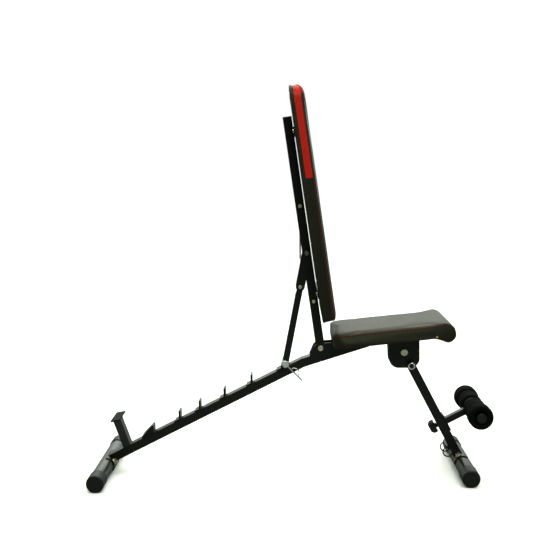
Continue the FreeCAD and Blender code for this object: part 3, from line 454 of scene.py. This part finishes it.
class Slant:
    """Side-view directions of a straight part; y stays across the bench."""

    def __init__(self, node_name, along_hint, out_hint):
        mesh = NODES[node_name].data
        points = np.array([v.co for v in mesh.vertices])
        best = None
        for edge in mesh.edges:
            step = points[edge.vertices[1]] - points[edge.vertices[0]]
            step[1] = 0
            size = np.linalg.norm(step)
            if size < SHORTEST_EDGE:
                continue
            step /= size
            across = points @ np.array((-step[2], 0, step[0]))
            if best is None or np.ptp(across) < best[0]:
                best = (np.ptp(across), step)
        along = Vector(best[1])
        self.along = along if along.dot(Vector(along_hint)) > 0 else -along
        out = Vector((-self.along.z, 0, self.along.x))
        self.out = out if out.dot(Vector(out_hint)) > 0 else -out

    def at(self, u, y, n):
        return self.along * u + self.out * n + Vector((0, y, 0))

    def span(self, node_name):
        """Lowest and highest (along, y, out) of a node."""
        points = np.array([v.co for v in NODES[node_name].data.vertices])
        parts = points @ np.array([self.along, (0, 1, 0), self.out]).T
        return parts.min(0), parts.max(0)


back = Slant("backrest_board", (0, 0, 1), (1, 0, 0))
seat = Slant("seat_board", (1, 0, 0), (0, 0, 1))
print("backrest", round(math.degrees(math.atan2(back.along.z, back.along.x)), 2),
      "deg, seat", round(math.degrees(math.atan2(seat.along.z, seat.along.x)), 2), "deg")


# %% [markdown]
# A cover is sewn from panels: a face, a band round the side and, on the seat, a nose. The mesh is laid
# out panel by panel on a grid, so that every seam is a real row of edges. A square grid bends to rounded
# corners by the disc map. Cloth with air pressure inside then swells the panels as foam does, with the
# underside held where the cover is stapled to its board, and the travel is capped to keep the size.


# %% Pad grid
LEAN_CURVE = 3.0


def made_from(mesh, name, *materials):
    """Turns an edit mesh into a smooth piece with its normals outwards."""
    bmesh.ops.recalc_face_normals(mesh, faces=mesh.faces)
    data = bpy.data.meshes.new(name)
    mesh.to_mesh(data)
    mesh.free()
    for material in materials:
        data.materials.append(material)
    for polygon in data.polygons:
        polygon.use_smooth = True
    piece = bpy.data.objects.new(name, data)
    bpy.context.scene.collection.objects.link(piece)
    return piece


def spaced(stops, step):
    """Stations through the stops, about a step apart."""
    found = [stops[0]]
    for a, b in zip(stops, stops[1:]):
        parts = max(1, round((b - a) / step))
        found += [a + (b - a) * k / parts for k in range(1, parts + 1)]
    return found


def rounded_plan(u, y, low, high, half, radii):
    """Bends a rectangle's grid to corners of radii[0] at the low end and radii[1] at the high end."""
    at_high = u > (low + high) / 2
    radius, end, sign = (radii[1], high, 1) if at_high else (radii[0], low, -1)
    p = (sign * (u - end) + radius) / radius
    q = (abs(y) - half + radius) / radius
    if p <= 0 or q <= 0:
        return u, y
    bent_p, bent_q = p * math.sqrt(1 - q * q / 2), q * math.sqrt(1 - p * p / 2)
    return end + sign * (bent_p - 1) * radius, math.copysign(half + (bent_q - 1) * radius, y)


def pad_grid(name, slant, us, ys, plan, top, bottom, rows, paint, lean=lambda u: 0.0):
    """A closed pad. top(u, inset) and bottom(u) are heights, rows(low, high) the heights of the band's
    rows, paint(kind, u, row) a panel's material index, and lean(u) how far the band leans in at its top."""
    mesh = bmesh.new()
    count_u, count_y = len(us), len(ys)
    upper, lower, flat = {}, {}, {}

    def leaning(u, y, share):
        return y * (1 - lean(u) * share ** LEAN_CURVE / ys[-1])

    for i, u in enumerate(us):
        for j, y in enumerate(ys):
            pu, py = plan(u, y)
            inset = min(u - us[0], us[-1] - u, ys[-1] - abs(y))
            flat[i, j] = pu, py
            upper[i, j] = mesh.verts.new(slant.at(pu, leaning(pu, py, 1), top(pu, inset)))
            lower[i, j] = mesh.verts.new(slant.at(pu, py, bottom(pu)))
    rim = [(i, 0) for i in range(count_u)]
    rim += [(count_u - 1, j) for j in range(1, count_y)]
    rim += [(i, count_y - 1) for i in range(count_u - 2, -1, -1)]
    rim += [(0, j) for j in range(count_y - 2, 0, -1)]
    for i in range(count_u - 1):
        for j in range(count_y - 1):
            ring = ((i, j), (i + 1, j), (i + 1, j + 1), (i, j + 1))
            middle = (us[i] + us[i + 1]) / 2
            mesh.faces.new([upper[k] for k in ring]).material_index = paint("top", middle, 0)
            mesh.faces.new([lower[k] for k in reversed(ring)]).material_index = 0
    band = []
    for k in rim:
        pu, py = flat[k]
        heights = rows(bottom(pu), top(pu, 0))
        column = []
        for n in heights[1:-1]:
            share = (n - heights[0]) / (heights[-1] - heights[0])
            column.append(mesh.verts.new(slant.at(pu, leaning(pu, py, share), n)))
        band.append([lower[k], *column, upper[k]])
    for a in range(len(rim)):
        b = (a + 1) % len(rim)
        middle = (us[rim[a][0]] + us[rim[b][0]]) / 2
        for r in range(len(band[a]) - 1):
            quad = (band[a][r], band[b][r], band[b][r + 1], band[a][r + 1])
            mesh.faces.new(quad).material_index = paint("band", middle, r)
    mesh.verts.index_update()
    held = {v.index for v in lower.values()}
    seams = {r: [column[r].index for column in band] for r in range(len(band[0]))}
    pad = made_from(mesh, name)
    print(name, len(pad.data.vertices), "points before swelling")
    return pad, held, seams


# %% Swell a pad with cloth simulation
SWELL_FRAMES = 20


def swell(pad, held, pressure, cap, stiffness=18.0):
    """Blows the pad up from inside, with the held points fixed, and eases every move in below the cap."""
    rest = np.array([v.co for v in pad.data.vertices])
    group = pad.vertex_groups.new(name="stapled")
    group.add(sorted(held), 1.0, "REPLACE")
    cloth = pad.modifiers.new("swell", "CLOTH")
    settings = cloth.settings
    settings.quality = 6
    settings.mass = 0.3
    settings.tension_stiffness = settings.compression_stiffness = stiffness
    settings.shear_stiffness = stiffness / 2
    settings.bending_stiffness = 2.0
    settings.use_pressure = True
    settings.uniform_pressure_force = pressure
    settings.vertex_group_mass = "stapled"
    settings.effector_weights.gravity = 0.0
    cloth.collision_settings.use_collision = False
    cloth.point_cache.frame_start, cloth.point_cache.frame_end = 1, SWELL_FRAMES
    for step in range(1, SWELL_FRAMES + 1):
        bpy.context.scene.frame_set(step)
    graph = bpy.context.evaluated_depsgraph_get()
    moved = np.array([v.co for v in pad.evaluated_get(graph).data.vertices]) - rest
    pad.modifiers.remove(cloth)
    size = np.linalg.norm(moved, axis=1)[:, None]
    capped = moved * cap * np.tanh(size / cap) / np.maximum(size, 1e-9)
    pad.data.vertices.foreach_set("co", (rest + capped).ravel())
    pad.data.update()
    bpy.context.scene.frame_set(1)
    print(pad.name, "swelled up to", round(float(np.abs(capped).max()) * 1000, 2), "mm")


def tuck(pad, loops, depth):
    """Pulls seam rows into the surface, as thread does."""
    normals = {i: pad.data.vertices[i].normal.copy() for loop in loops for i in loop}
    for i, normal in normals.items():
        pad.data.vertices[i].co -= normal * depth
    pad.data.update()


def finished(pad, materials, body, replaced):
    """Smooths and declares a pad. Gives its final points and normals, and a skin to look up places on it."""
    for material in materials:
        pad.data.materials.append(material)
    smooth = pad.modifiers.new("smooth", "SUBSURF")
    smooth.levels = smooth.render_levels = 1
    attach(pad, body)
    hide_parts(replaced)
    graph = bpy.context.evaluated_depsgraph_get()
    made = pad.evaluated_get(graph).data
    points = [v.co.copy() for v in made.vertices]
    skin = BVHTree.FromPolygons(points, [polygon.vertices for polygon in made.polygons])
    return points, [v.normal.copy() for v in made.vertices], skin


# %% [markdown]
# The backrest is a long slab whose front rounds over at the top end. Its side band has a black strip
# over the board's edge and a red panel from the shoulders up, which wraps over the end.

# %% Backrest pad
SINK = 0.8 * MM
(b_u0, _, b_n0), (b_u1, b_half, b_n1) = back.span("backrest_pad")
_, (_, _, board_front) = back.span("backrest_board")
RED_FROM = b_u1 - 276 * MM
RED_OVER = b_u1 - 15 * MM
EDGE_ROUND = 9 * MM
EDGE_DROP = 5.5 * MM
END_ROUND = 17 * MM
END_DROP = 13 * MM
SWELL_ROOM = 3.0 * MM
b_low, b_high, b_w = b_u0 - 6 * MM, b_u1 + 5 * MM, b_half - 1.5 * MM


def back_front(u, inset):
    """Height of the padded face: flat, rounded off at its edges and down over the top end."""
    n = b_n1 - SWELL_ROOM
    past = (u - (b_high - END_ROUND)) / END_ROUND
    if past > 0:
        n -= END_DROP * (1 - math.sqrt(max(0.0, 1 - past * past)))
    near = max(0.0, 1 - inset / EDGE_ROUND)
    return n - EDGE_DROP * (1 - math.sqrt(1 - near * near))


def back_rows(low, high):
    """Two rows over the board's edge, then four over the foam."""
    over_board = [low, low + 0.5 * (board_front - low), board_front]
    return over_board + [board_front + (high - board_front) * f for f in (0.25, 0.5, 0.75, 1)]


def back_paint(kind, u, row):
    if kind == "band":
        return 1 if row >= 2 and u > RED_FROM else 0
    return 1 if u > RED_OVER else 0


EDGES = [0, 2.5 * MM, 6 * MM, 11 * MM]
GRID_STEP = 8 * MM
back_stops = [b_low + e for e in EDGES] + [RED_FROM, RED_OVER] + [b_high - e for e in reversed(EDGES)]
back_us = spaced(back_stops, GRID_STEP)
back_ys = spaced([-b_w + e for e in EDGES] + [b_w - e for e in reversed(EDGES)], GRID_STEP)
BACK_CORNERS = (18 * MM, 48 * MM)
PRESSURE, SWELL_CAP = 4.0, 4.0 * MM
SEAM_DEPTH = 0.7 * MM
BOARD_SEAM, FACE_SEAM = 2, 6
back_pad, back_held, back_seams = pad_grid(
    "backrest_cushion", back, back_us, back_ys,
    lambda u, y: rounded_plan(u, y, b_low, b_high, b_w, BACK_CORNERS),
    back_front, lambda u: b_n0 + SINK, back_rows, back_paint)
swell(back_pad, back_held, PRESSURE, SWELL_CAP)
tuck(back_pad, [back_seams[BOARD_SEAM], back_seams[FACE_SEAM]], SEAM_DEPTH)
back_points, back_normals, back_skin = finished(back_pad, [BLACK_VINYL, RED_VINYL], "backrest",
                                     "backrest_pad")

# %% [markdown]
# The seat is a wedge of foam whose front rolls down into a round nose. Its two side panels end where
# the nose comes round to meet the underside.

# %% Seat pad
(s_u0, _, _), (s_u1, s_half, s_n1) = seat.span("seat_pad")
(_, _, seat_under), _ = seat.span("seat_board")
NOSE_R = 31 * MM
NOSE_TIP = math.cos(math.radians(5))
NOSE_N = s_n1 - NOSE_R + 0.5 * MM
NOSE_U = s_u1 - NOSE_R + 3.0 * MM
NOSE_RUN = 34 * MM
REAR_ROUND = 7 * MM
REAR_DROP, SIDE_DROP = 4 * MM, 3 * MM
LEAN_REAR, LEAN_FRONT = 12 * MM, 6 * MM


def seat_lean(u):
    share = min(1.0, max(0.0, (u - s_u0) / (NOSE_U - s_u0)))
    return LEAN_REAR * (1 - share) + LEAN_FRONT * share


def seat_top(u, inset):
    past = min(NOSE_TIP, max(0.0, (u - NOSE_U) / NOSE_R))
    n = NOSE_N + NOSE_R * math.sqrt(1 - past * past)
    rear = max(0.0, 1 - (u - s_u0) / REAR_ROUND)
    near = max(0.0, 1 - inset / EDGE_ROUND) if u < NOSE_U else 0.0
    return n - REAR_DROP * rear * rear - SIDE_DROP * near * near * (1 - past)


def seat_bottom(u):
    past = min(NOSE_TIP, max(0.0, (u - NOSE_U) / NOSE_R))
    if past > 0:
        return NOSE_N - NOSE_R * math.sqrt(1 - past * past)
    share = max(0.0, (u - (NOSE_U - NOSE_RUN)) / NOSE_RUN)
    return (seat_under + SINK) * (1 - share) + (NOSE_N - NOSE_R) * share


SEAT_ROWS = 5


def seat_rows(low, high):
    return [low + (high - low) * (k / SEAT_ROWS) for k in range(SEAT_ROWS + 1)]


s_low, s_high, s_w = s_u0 + 1.0 * MM, NOSE_U + NOSE_R * NOSE_TIP, s_half - 1.5 * MM
nose_us = [NOSE_U + NOSE_R * math.sin(math.radians(t)) for t in (12, 24, 36, 48, 60, 72, 85)]
seat_us = spaced([s_low + e for e in EDGES] + [NOSE_U - NOSE_RUN, NOSE_U], GRID_STEP) + nose_us
seat_ys = spaced([-s_w + e for e in EDGES] + [s_w - e for e in reversed(EDGES)], GRID_STEP)
SEAT_CORNERS = (32 * MM, 9 * MM)
seat_pad, seat_held, seat_seams = pad_grid(
    "seat_cushion", seat, seat_us, seat_ys,
    lambda u, y: rounded_plan(u, y, s_low, s_high, s_w, SEAT_CORNERS),
    seat_top, seat_bottom, seat_rows,
    lambda kind, u, row: 0, seat_lean)
seat_held = {i for i in seat_held if seat_pad.data.vertices[i].co.dot(seat.along) < NOSE_U - NOSE_RUN}
swell(seat_pad, seat_held, PRESSURE, SWELL_CAP)
tuck(seat_pad, [seat_seams[SEAT_ROWS]], SEAM_DEPTH)
seat_points, seat_normals, seat_skin = finished(seat_pad, [BLACK_VINYL], "frame",
                                                "seat_pad")


# %% [markdown]
# Piping, wire and weld beads are all a round section swept along a line. The sweep carries its section
# forward without twisting it, and its radius may change along the way, which gives a bead its ripples.


# %% Sweeps
def swept(name, lines, radius, sides, closed, material, body):
    """One mesh of round sections along each line. radius is a number or a function of the distance run.
    With no body the piece stays free."""
    mesh = bmesh.new()
    for line in lines:
        points = [Vector(p) for p in line]
        count = len(points)
        rings, normal, run = [], None, 0.0
        for k, point in enumerate(points):
            before = points[k - 1] if k or closed else point
            after = points[(k + 1) % count] if k < count - 1 or closed else point
            tangent = (after - before).normalized()
            if normal is None:
                normal = tangent.orthogonal().normalized()
            normal = (normal - tangent * normal.dot(tangent)).normalized()
            other = tangent.cross(normal)
            run += (point - points[k - 1]).length if k else 0.0
            r = radius(run) if callable(radius) else radius
            turns = [2 * math.pi * s / sides for s in range(sides)]
            rings.append([mesh.verts.new(point + (normal * math.cos(t) + other * math.sin(t)) * r)
                          for t in turns])
        pairs = list(zip(rings, rings[1:]))
        if closed:
            first, last = rings[0], rings[-1]
            shift = min(range(sides), key=lambda s: (first[s].co - last[0].co).length)
            pairs.append((last, first[shift:] + first[:shift]))
        else:
            mesh.faces.new(list(reversed(rings[0])))
            mesh.faces.new(rings[-1])
        for a, b in pairs:
            for s in range(sides):
                mesh.faces.new((a[s], a[(s + 1) % sides], b[(s + 1) % sides], b[s]))
    piece = made_from(mesh, name, material)
    if body:
        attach(piece, body)
    print(name, len(piece.data.vertices), "points")
    return piece


# %% Piping along the seams
PIPING_R = 1.4 * MM
PIPING_LIFT = 0.3 * MM
EDGE_BAND = 4 * MM
UNDER_BAND = 12 * MM


def seam_line(points, normals, loop, lift):
    return [points[i] + normals[i] * lift for i in loop]


back_line = seam_line(back_points, back_normals, back_seams[FACE_SEAM], PIPING_LIFT)
swept("backrest_piping", [back_line], PIPING_R, 8, True, PIPING, "backrest")


def seat_piping_route():
    """Under the nose, round its tip, back along the top edge, across the rear, and back to the nose."""
    upper, lower = seat_seams[SEAT_ROWS], seat_seams[0]
    place = {i: (seat_points[i].dot(seat.along), seat_points[i].y) for i in upper + lower}
    edge = {i: s_w - EDGE_BAND - seat_lean(place[i][0]) for i in upper}
    tip = max(place[i][0] for i in upper) - EDGE_BAND
    below = [i for i in lower if place[i][0] > NOSE_U - NOSE_RUN and abs(place[i][1]) > s_w - UNDER_BAND]
    above = [i for i in upper if place[i][0] < tip or abs(place[i][1]) > edge[i]]
    near_below = sorted((i for i in below if place[i][1] < 0), key=lambda i: place[i][0])
    far_below = sorted((i for i in below if place[i][1] > 0), key=lambda i: -place[i][0])
    near_side = sorted((i for i in above if place[i][1] < -edge[i]), key=lambda i: -place[i][0])
    far_side = sorted((i for i in above if place[i][1] > edge[i]), key=lambda i: place[i][0])
    taken = set(near_side + far_side)
    rear = sorted((i for i in above if i not in taken), key=lambda i: place[i][1])
    return near_below + near_side + rear + far_side + far_below


seat_line = seam_line(seat_points, seat_normals, seat_piping_route(), PIPING_LIFT)
swept("seat_piping", [seat_line], PIPING_R, 8, False, PIPING, "frame")

# %% [markdown]
# The foam rollers are turned on a lathe in effect: a profile spun round the axle, thick at its outer end
# with soft shoulders, and the foam's surface dips a little where it was squeezed on.


# %% Foam rollers
BORE_R, NECK_AT = 12.7 * MM, 77 * MM
MID_LESS = 3.5 * MM
SAG = 0.4 * MM
ROUND_SIDES = 64
# Millimetres: how far from the inner face, the groove or the outer end, and how much the radius changes.
INNER_SHOULDER = ((0, -7), (0.8, -3), (3, -0.8), (7, 0))
GROOVE = ((-9, -3.5), (-6, -4), (-3.6, -6.4), (-1.4, -8), (1.4, -8), (3.6, -5.2), (6, -1.4), (9, 0))
OUTER_SHOULDER = ((24, 0.6), (8, 0.4), (2.6, -0.6), (0.6, -2.4), (0, -5.5))


def roller_profile(length, big, neck):
    """Points (distance from the inner face, radius)."""
    mid = big - MID_LESS
    points = [(0, BORE_R)]
    points += [(at * MM, mid + change * MM) for at, change in INNER_SHOULDER]
    points += [(neck * f, mid - SAG * math.sin(math.pi * f)) for f in (0.3, 0.55, 0.75)]
    points += [(neck + at * MM, big + change * MM) for at, change in GROOVE]
    points += [(length - at * MM, big + change * MM) for at, change in OUTER_SHOULDER]
    return points + [(length, BORE_R)]


def foam_roller(name, node_name, body, outward):
    low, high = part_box(node_name)
    centre = (low + high) / 2
    outer, inner = (low.y, high.y) if outward < 0 else (high.y, low.y)
    length = abs(outer - inner)
    turns = [2 * math.pi * s / ROUND_SIDES for s in range(ROUND_SIDES)]
    mesh = bmesh.new()
    rings = []
    for along, r in roller_profile(length, (high.z - low.z) / 2, NECK_AT - abs(inner)):
        y = inner + (outer - inner) * along / length
        ring = [(centre.x + r * math.cos(t), y, centre.z + r * math.sin(t)) for t in turns]
        rings.append([mesh.verts.new(point) for point in ring])
    for a, b in zip(rings, rings[1:] + rings[:1]):
        for s in range(ROUND_SIDES):
            mesh.faces.new((a[s], a[(s + 1) % ROUND_SIDES], b[(s + 1) % ROUND_SIDES], b[s]))
    piece = made_from(mesh, name, FOAM)
    smooth = piece.modifiers.new("smooth", "SUBSURF")
    smooth.levels = smooth.render_levels = 1
    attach(piece, body)
    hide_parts(node_name)
    print(name, round(length * 1000, 1), "mm long")
    return piece


foam_roller("foam_sleeve_right", "foam_roller_right", "roller_right", -1)
foam_roller("foam_sleeve_left", "foam_roller_left", "roller_left", 1)

# %% [markdown]
# Beside the piping the cover is top-stitched: short threads that dive into the vinyl at both ends. On the
# back, the cover is folded over the board's edge as a hem that is fullest at the corners, and stapled.


# %% Stitches
STITCH, STITCH_GAP, STITCH_IN = 4.2 * MM, 1.6 * MM, 4.5 * MM
THREAD_R = 0.35 * MM
STITCH_SHAPE = ((0, -0.3), (0.12, 0.12), (0.5, 0.3), (0.88, 0.12), (1, -0.3))


def resampled(line, step, closed):
    """Points a step apart along a line."""
    points = line + line[:1] if closed else line
    found, left = [], 0.0
    for a, b in zip(points, points[1:]):
        length = (b - a).length
        while left < length:
            found.append(a.lerp(b, left / length))
            left += step
        left -= length
    return found


def stitches(name, line, closed, slant, skin, body):
    """Short threads on the skin, inwards from the line. STITCH_SHAPE is (share of length, lift in mm)."""
    middle = sum(line, Vector()) / len(line)
    places = resampled(line, STITCH + STITCH_GAP, closed)
    threads = []
    for a, b in zip(places, places[1:]):
        way = (b - a).normalized()
        inward = slant.out.cross(way).normalized()
        if inward.dot(middle - a) < 0:
            inward = -inward
        thread = []
        for share, lift in STITCH_SHAPE:
            spot = a + way * STITCH * share + inward * STITCH_IN
            at, normal, _, _ = skin.find_nearest(spot)
            thread.append(at + normal * lift * MM)
        threads.append(thread)
    return swept(name, threads, THREAD_R, 6, False, THREAD, body)


stitches("backrest_stitches", back_line, True, back, back_skin, "backrest")
TOP_EDGE_FROM = seat_under + 25 * MM
seat_top_line = [p for p in seat_line if p.dot(seat.along) < NOSE_U and p.dot(seat.out) > TOP_EDGE_FROM]
stitches("seat_stitches", seat_top_line, False, seat, seat_skin, "frame")

# %% Hem and staples on the backrest's back
HEM_W, HEM_T = 27 * MM, 0.9 * MM
STAPLE_INSET = 0.72 * HEM_W
STAPLE_STEP, STAPLE_HALF, STAPLE_LEG, STAPLE_R = 38 * MM, 5 * MM, 0.9 * MM, 0.45 * MM
CORNER_PARTS, SIDE_PARTS, END_PARTS = 12, 17, 41
rng = np.random.default_rng(7)


def outline(low, high, half, radii):
    """A rounded rectangle as (u, y, corner); corner runs 0-1-0 through each rounded corner."""
    arcs = []
    for radius, end, side, start in ((radii[0], low, -1, 180), (radii[1], high, -1, 270),
                                     (radii[1], high, 1, 0), (radii[0], low, 1, 90)):
        centre_u = end + radius if end == low else end - radius
        centre_y = side * (half - radius)
        arc = []
        for k in range(CORNER_PARTS + 1):
            t = math.radians(start + 90 * k / CORNER_PARTS)
            fullness = math.sin(math.pi * k / CORNER_PARTS)
            arc.append((centre_u + radius * math.cos(t), centre_y + radius * math.sin(t), fullness))
        arcs.append(arc)
    found = []
    for arc, following, parts in zip(arcs, arcs[1:] + arcs[:1], (SIDE_PARTS, END_PARTS) * 2):
        found += arc
        for k in range(1, parts):
            share = k / parts
            found.append(tuple(a * (1 - share) + b * share for a, b in zip(arc[-1], following[0])))
    return found


def inset_outline(low, high, half, radii, inset, smallest):
    return outline(low + inset, high - inset, half - inset, [max(smallest, r - inset) for r in radii])


def staples(name, slant, line, body):
    """Wire staples along the line, each a little askew, with their legs in the cloth."""
    wires = []
    spots = resampled(line, STAPLE_STEP, True)
    for a, b in zip(spots, spots[1:]):
        way = (b - a).normalized()
        across = slant.out.cross(way).normalized()
        askew = rng.uniform(-0.5, 0.5)
        bar = (across * math.cos(askew) + way * math.sin(askew)) * STAPLE_HALF
        leg = slant.out * STAPLE_LEG
        wires.append([a - bar + leg, a - bar, a + bar, a + bar + leg])
    return swept(name, wires, STAPLE_R, 6, False, BRIGHT, body)


def hem(name, slant, low, high, half, radii, n_back, body):
    """A folded strip round the back of a pad, wavy along its cut edge and pleated at the corners."""
    outer = outline(low, high, half, radii)
    inner = inset_outline(low, high, half, radii, HEM_W, 4 * MM)
    mesh = bmesh.new()
    sections = []
    for k, ((ou, oy, corner), (iu, iy, _)) in enumerate(zip(outer, inner)):
        pleat = HEM_T * (1 + 0.7 * corner * abs(math.sin(k * 1.3)))
        drift = 0.04 * math.sin(k * 0.37) + 0.02 * math.sin(k * 0.9)
        iu, iy = iu + (ou - iu) * drift, iy + (oy - iy) * drift
        mu, my = (ou + iu) / 2, (oy + iy) / 2
        section = ((ou, oy, n_back + 0.7 * MM), (ou, oy, n_back - HEM_T * 0.4), (mu, my, n_back - pleat),
                   (iu, iy, n_back - HEM_T * 0.8), (iu, iy, n_back + 0.3 * MM))
        sections.append([mesh.verts.new(slant.at(*point)) for point in section])
    for a, b in zip(sections, sections[1:] + sections[:1]):
        for s in range(len(a)):
            after = (s + 1) % len(a)
            mesh.faces.new((a[s], a[after], b[after], b[s]))
    piece = made_from(mesh, name, BLACK_VINYL)
    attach(piece, body)
    middle = inset_outline(low, high, half, radii, STAPLE_INSET, 5 * MM)
    line = [slant.at(u, y, n_back - HEM_T) for u, y, _ in middle]
    staples(name.replace("hem", "staples"), slant, line, body)
    return piece


HEM_CORNERS = (18 * MM, 46 * MM)
hem("backrest_hem", back, b_low + 3 * MM, b_high - 4 * MM, b_w - 3 * MM, HEM_CORNERS, b_n0, "backrest")

# %% [markdown]
# The assist spring hooks over the bolt on the backrest's tube and over the pin on the strut: a ring, a
# straight shank, a tight coil, and the same again. It stretches between the two.


# %% Assist spring
WIRE_R, COIL_R, PITCH = 0.6 * MM, 2.3 * MM, 1.25 * MM
SHANK, HOOK_ROOM = 24 * MM, 0.1 * MM
LOOK_FROM = 60 * MM
COIL_STEPS = 12


def skin_of(node_name):
    mesh = NODES[node_name].data
    faces = [polygon.vertices for polygon in mesh.polygons]
    return BVHTree.FromPolygons([v.co for v in mesh.vertices], faces)


def reach(node_name, centre):
    """How far a part's surface is from the line across the bench through centre."""
    skin = skin_of(node_name)
    found = [0.0]
    for turn in range(12):
        way = Vector((math.cos(turn * math.pi / 6), 0, math.sin(turn * math.pi / 6)))
        hit = skin.ray_cast(centre + way * LOOK_FROM, -way, LOOK_FROM)[0]
        if hit is not None:
            found.append((hit - centre).length)
    return max(found)


def pin_centre(node_name, y):
    low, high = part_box(node_name)
    return Vector(((low.x + high.x) / 2, y, (low.z + high.z) / 2))


spring_low, spring_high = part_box("assist_spring")
spring_y = (spring_low.y + spring_high.y) / 2
anchor, eye = pin_centre("spring_anchor_bolt", spring_y), pin_centre("spring_hook_pin", spring_y)
down = (eye - anchor).normalized()
aside = down.cross(Vector((0, 1, 0)))


def hook(centre, radius, towards):
    """A ring of wire round a pin, open towards the side that the wire leaves on."""
    turns = [math.radians(t) for t in range(50, 361, 10)]
    return [centre + (towards * math.cos(t) + aside * math.sin(t)) * radius for t in turns]


top_r = reach("spring_anchor_bolt", anchor) + WIRE_R + HOOK_ROOM
foot_r = reach("spring_hook_pin", eye) + WIRE_R + HOOK_ROOM
wire = hook(anchor, top_r, down)
run_from, run_to = top_r + SHANK, (eye - anchor).length - foot_r - SHANK
steps = COIL_STEPS * round((run_to - run_from) / PITCH)
for k in range(steps + 1):
    grow = min(1.0, k / COIL_STEPS, (steps - k) / COIL_STEPS)
    turn = 2 * math.pi * k / COIL_STEPS
    wire.append(anchor + down * (run_from + (run_to - run_from) * k / steps)
                + (aside * math.cos(turn) + Vector((0, 1, 0)) * math.sin(turn)) * COIL_R * grow)
wire += list(reversed(hook(eye, foot_r, -down)))
spring = swept("assist_spring_coil", [wire], WIRE_R, 6, False, SPRING, None)
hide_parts("assist_spring")
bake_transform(spring)
print("hooks", round(top_r * 1000, 2), round(foot_r * 1000, 2), "mm")

# %% [markdown]
# The pull pin is sprung too: a short coil inside its barrel is squeezed by the pin's collar. The knob's
# hollow face holds a dark disc, which paints the shade down in the hollow.


# %% Return spring in the pull pin's barrel
PIN_WIRE_R, PIN_TURNS, PIN_STEPS = 0.45 * MM, 5, 16
pin_low, pin_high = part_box("pop_pin")
pin_at = Vector(((pin_low.x + pin_high.x) / 2, 0, (pin_low.z + pin_high.z) / 2))
sleeve_low, sleeve_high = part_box("pop_pin_spring")
sleeve_r = (sleeve_high.x - sleeve_low.x) / 2 - PIN_WIRE_R
coil_from, coil_to = sleeve_low.y + PIN_WIRE_R, sleeve_high.y - PIN_WIRE_R
coil = []
for k in range(PIN_STEPS * PIN_TURNS + 1):
    turn = 2 * math.pi * k / PIN_STEPS
    y = coil_from + (coil_to - coil_from) * k / (PIN_STEPS * PIN_TURNS)
    coil.append(pin_at + Vector((sleeve_r * math.cos(turn), y, sleeve_r * math.sin(turn))))
return_spring = swept("pull_pin_return_spring", [coil], PIN_WIRE_R, 6, False, SPRING, None)
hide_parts("pop_pin_spring")
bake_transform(return_spring)

# %% Dark disc in the pull knob's dish, painted shade of its hollow
SHADE_DISC_R, SHADE_DISC_FACE_R = 7.0 * MM, 6.0 * MM
SHADE_DISC_DEPTHS = (2.6 * MM, 3.0 * MM, 4.2 * MM)
shade_disc = [pin_at + Vector((0, pin_low.y + depth, 0)) for depth in SHADE_DISC_DEPTHS]


def shade_disc_radius(run):
    """A bevelled front edge, then the full radius."""
    return SHADE_DISC_FACE_R if run < 0.1 * MM else SHADE_DISC_R


# The dark disc stands in for the shade deep in the knob's hollow: painted shade.
swept("pull_knob_insert", [shade_disc], shade_disc_radius, 32, False, PLASTIC, "pull_pin")

# %% [markdown]
# The frame is welded: where a tube's cut end meets another part, a bead runs round the joint in small
# overlapping ripples. The points of the end that touch the other part give the bead its path.


# %% Weld beads
BEAD_R, RIPPLE, BEAD_STEP, TOUCH = 1.7 * MM, 2.4 * MM, 0.8 * MM, 0.4 * MM


def hull(points):
    """Convex hull of flat points, as indices in order."""
    order = sorted(range(len(points)), key=lambda i: tuple(points[i]))

    def half(run):
        kept = []
        for i in run:
            while len(kept) > 1:
                (ax, ay), (bx, by), (cx, cy) = (points[j] for j in (kept[-2], kept[-1], i))
                if (bx - ax) * (cy - ay) - (by - ay) * (cx - ax) > 1e-12:
                    break
                kept.pop()
            kept.append(i)
        return kept[:-1]

    return half(order) + half(reversed(order))


def contact_loop(node_name, on):
    """Outline of the area in which one part's vertices touch another part."""
    skin = skin_of(on)
    corners_of_part = [v.co for v in NODES[node_name].data.vertices]
    cloud = np.array([p for p in corners_of_part if skin.find_nearest(p, TOUCH)[0] is not None])
    middle = cloud.mean(0)
    _, _, axes = np.linalg.svd(cloud - middle)
    flat = (cloud - middle) @ axes[:2].T
    return [Vector(cloud[i]) for i in hull(flat)]


def ripple(run):
    return BEAD_R * (0.86 + 0.14 * math.sin(2 * math.pi * run / RIPPLE))


def bead(name, pairs, body):
    lines = [resampled(contact_loop(a, b), BEAD_STEP, True) for a, b in pairs]
    return swept(name, lines, ripple, 8, True, PAINT, body)


FRAME_JOINTS = (("rear_post", "main_tube"), ("rear_post", "rear_rest_plate"), ("main_tube", "rear_saddle"))
LEG_JOINTS = (("roller_arm", "arm_bracket"), ("front_leg", "front_saddle"))
bead("frame_weld_beads", FRAME_JOINTS, "frame")
bead("leg_weld_beads", LEG_JOINTS, "leg")
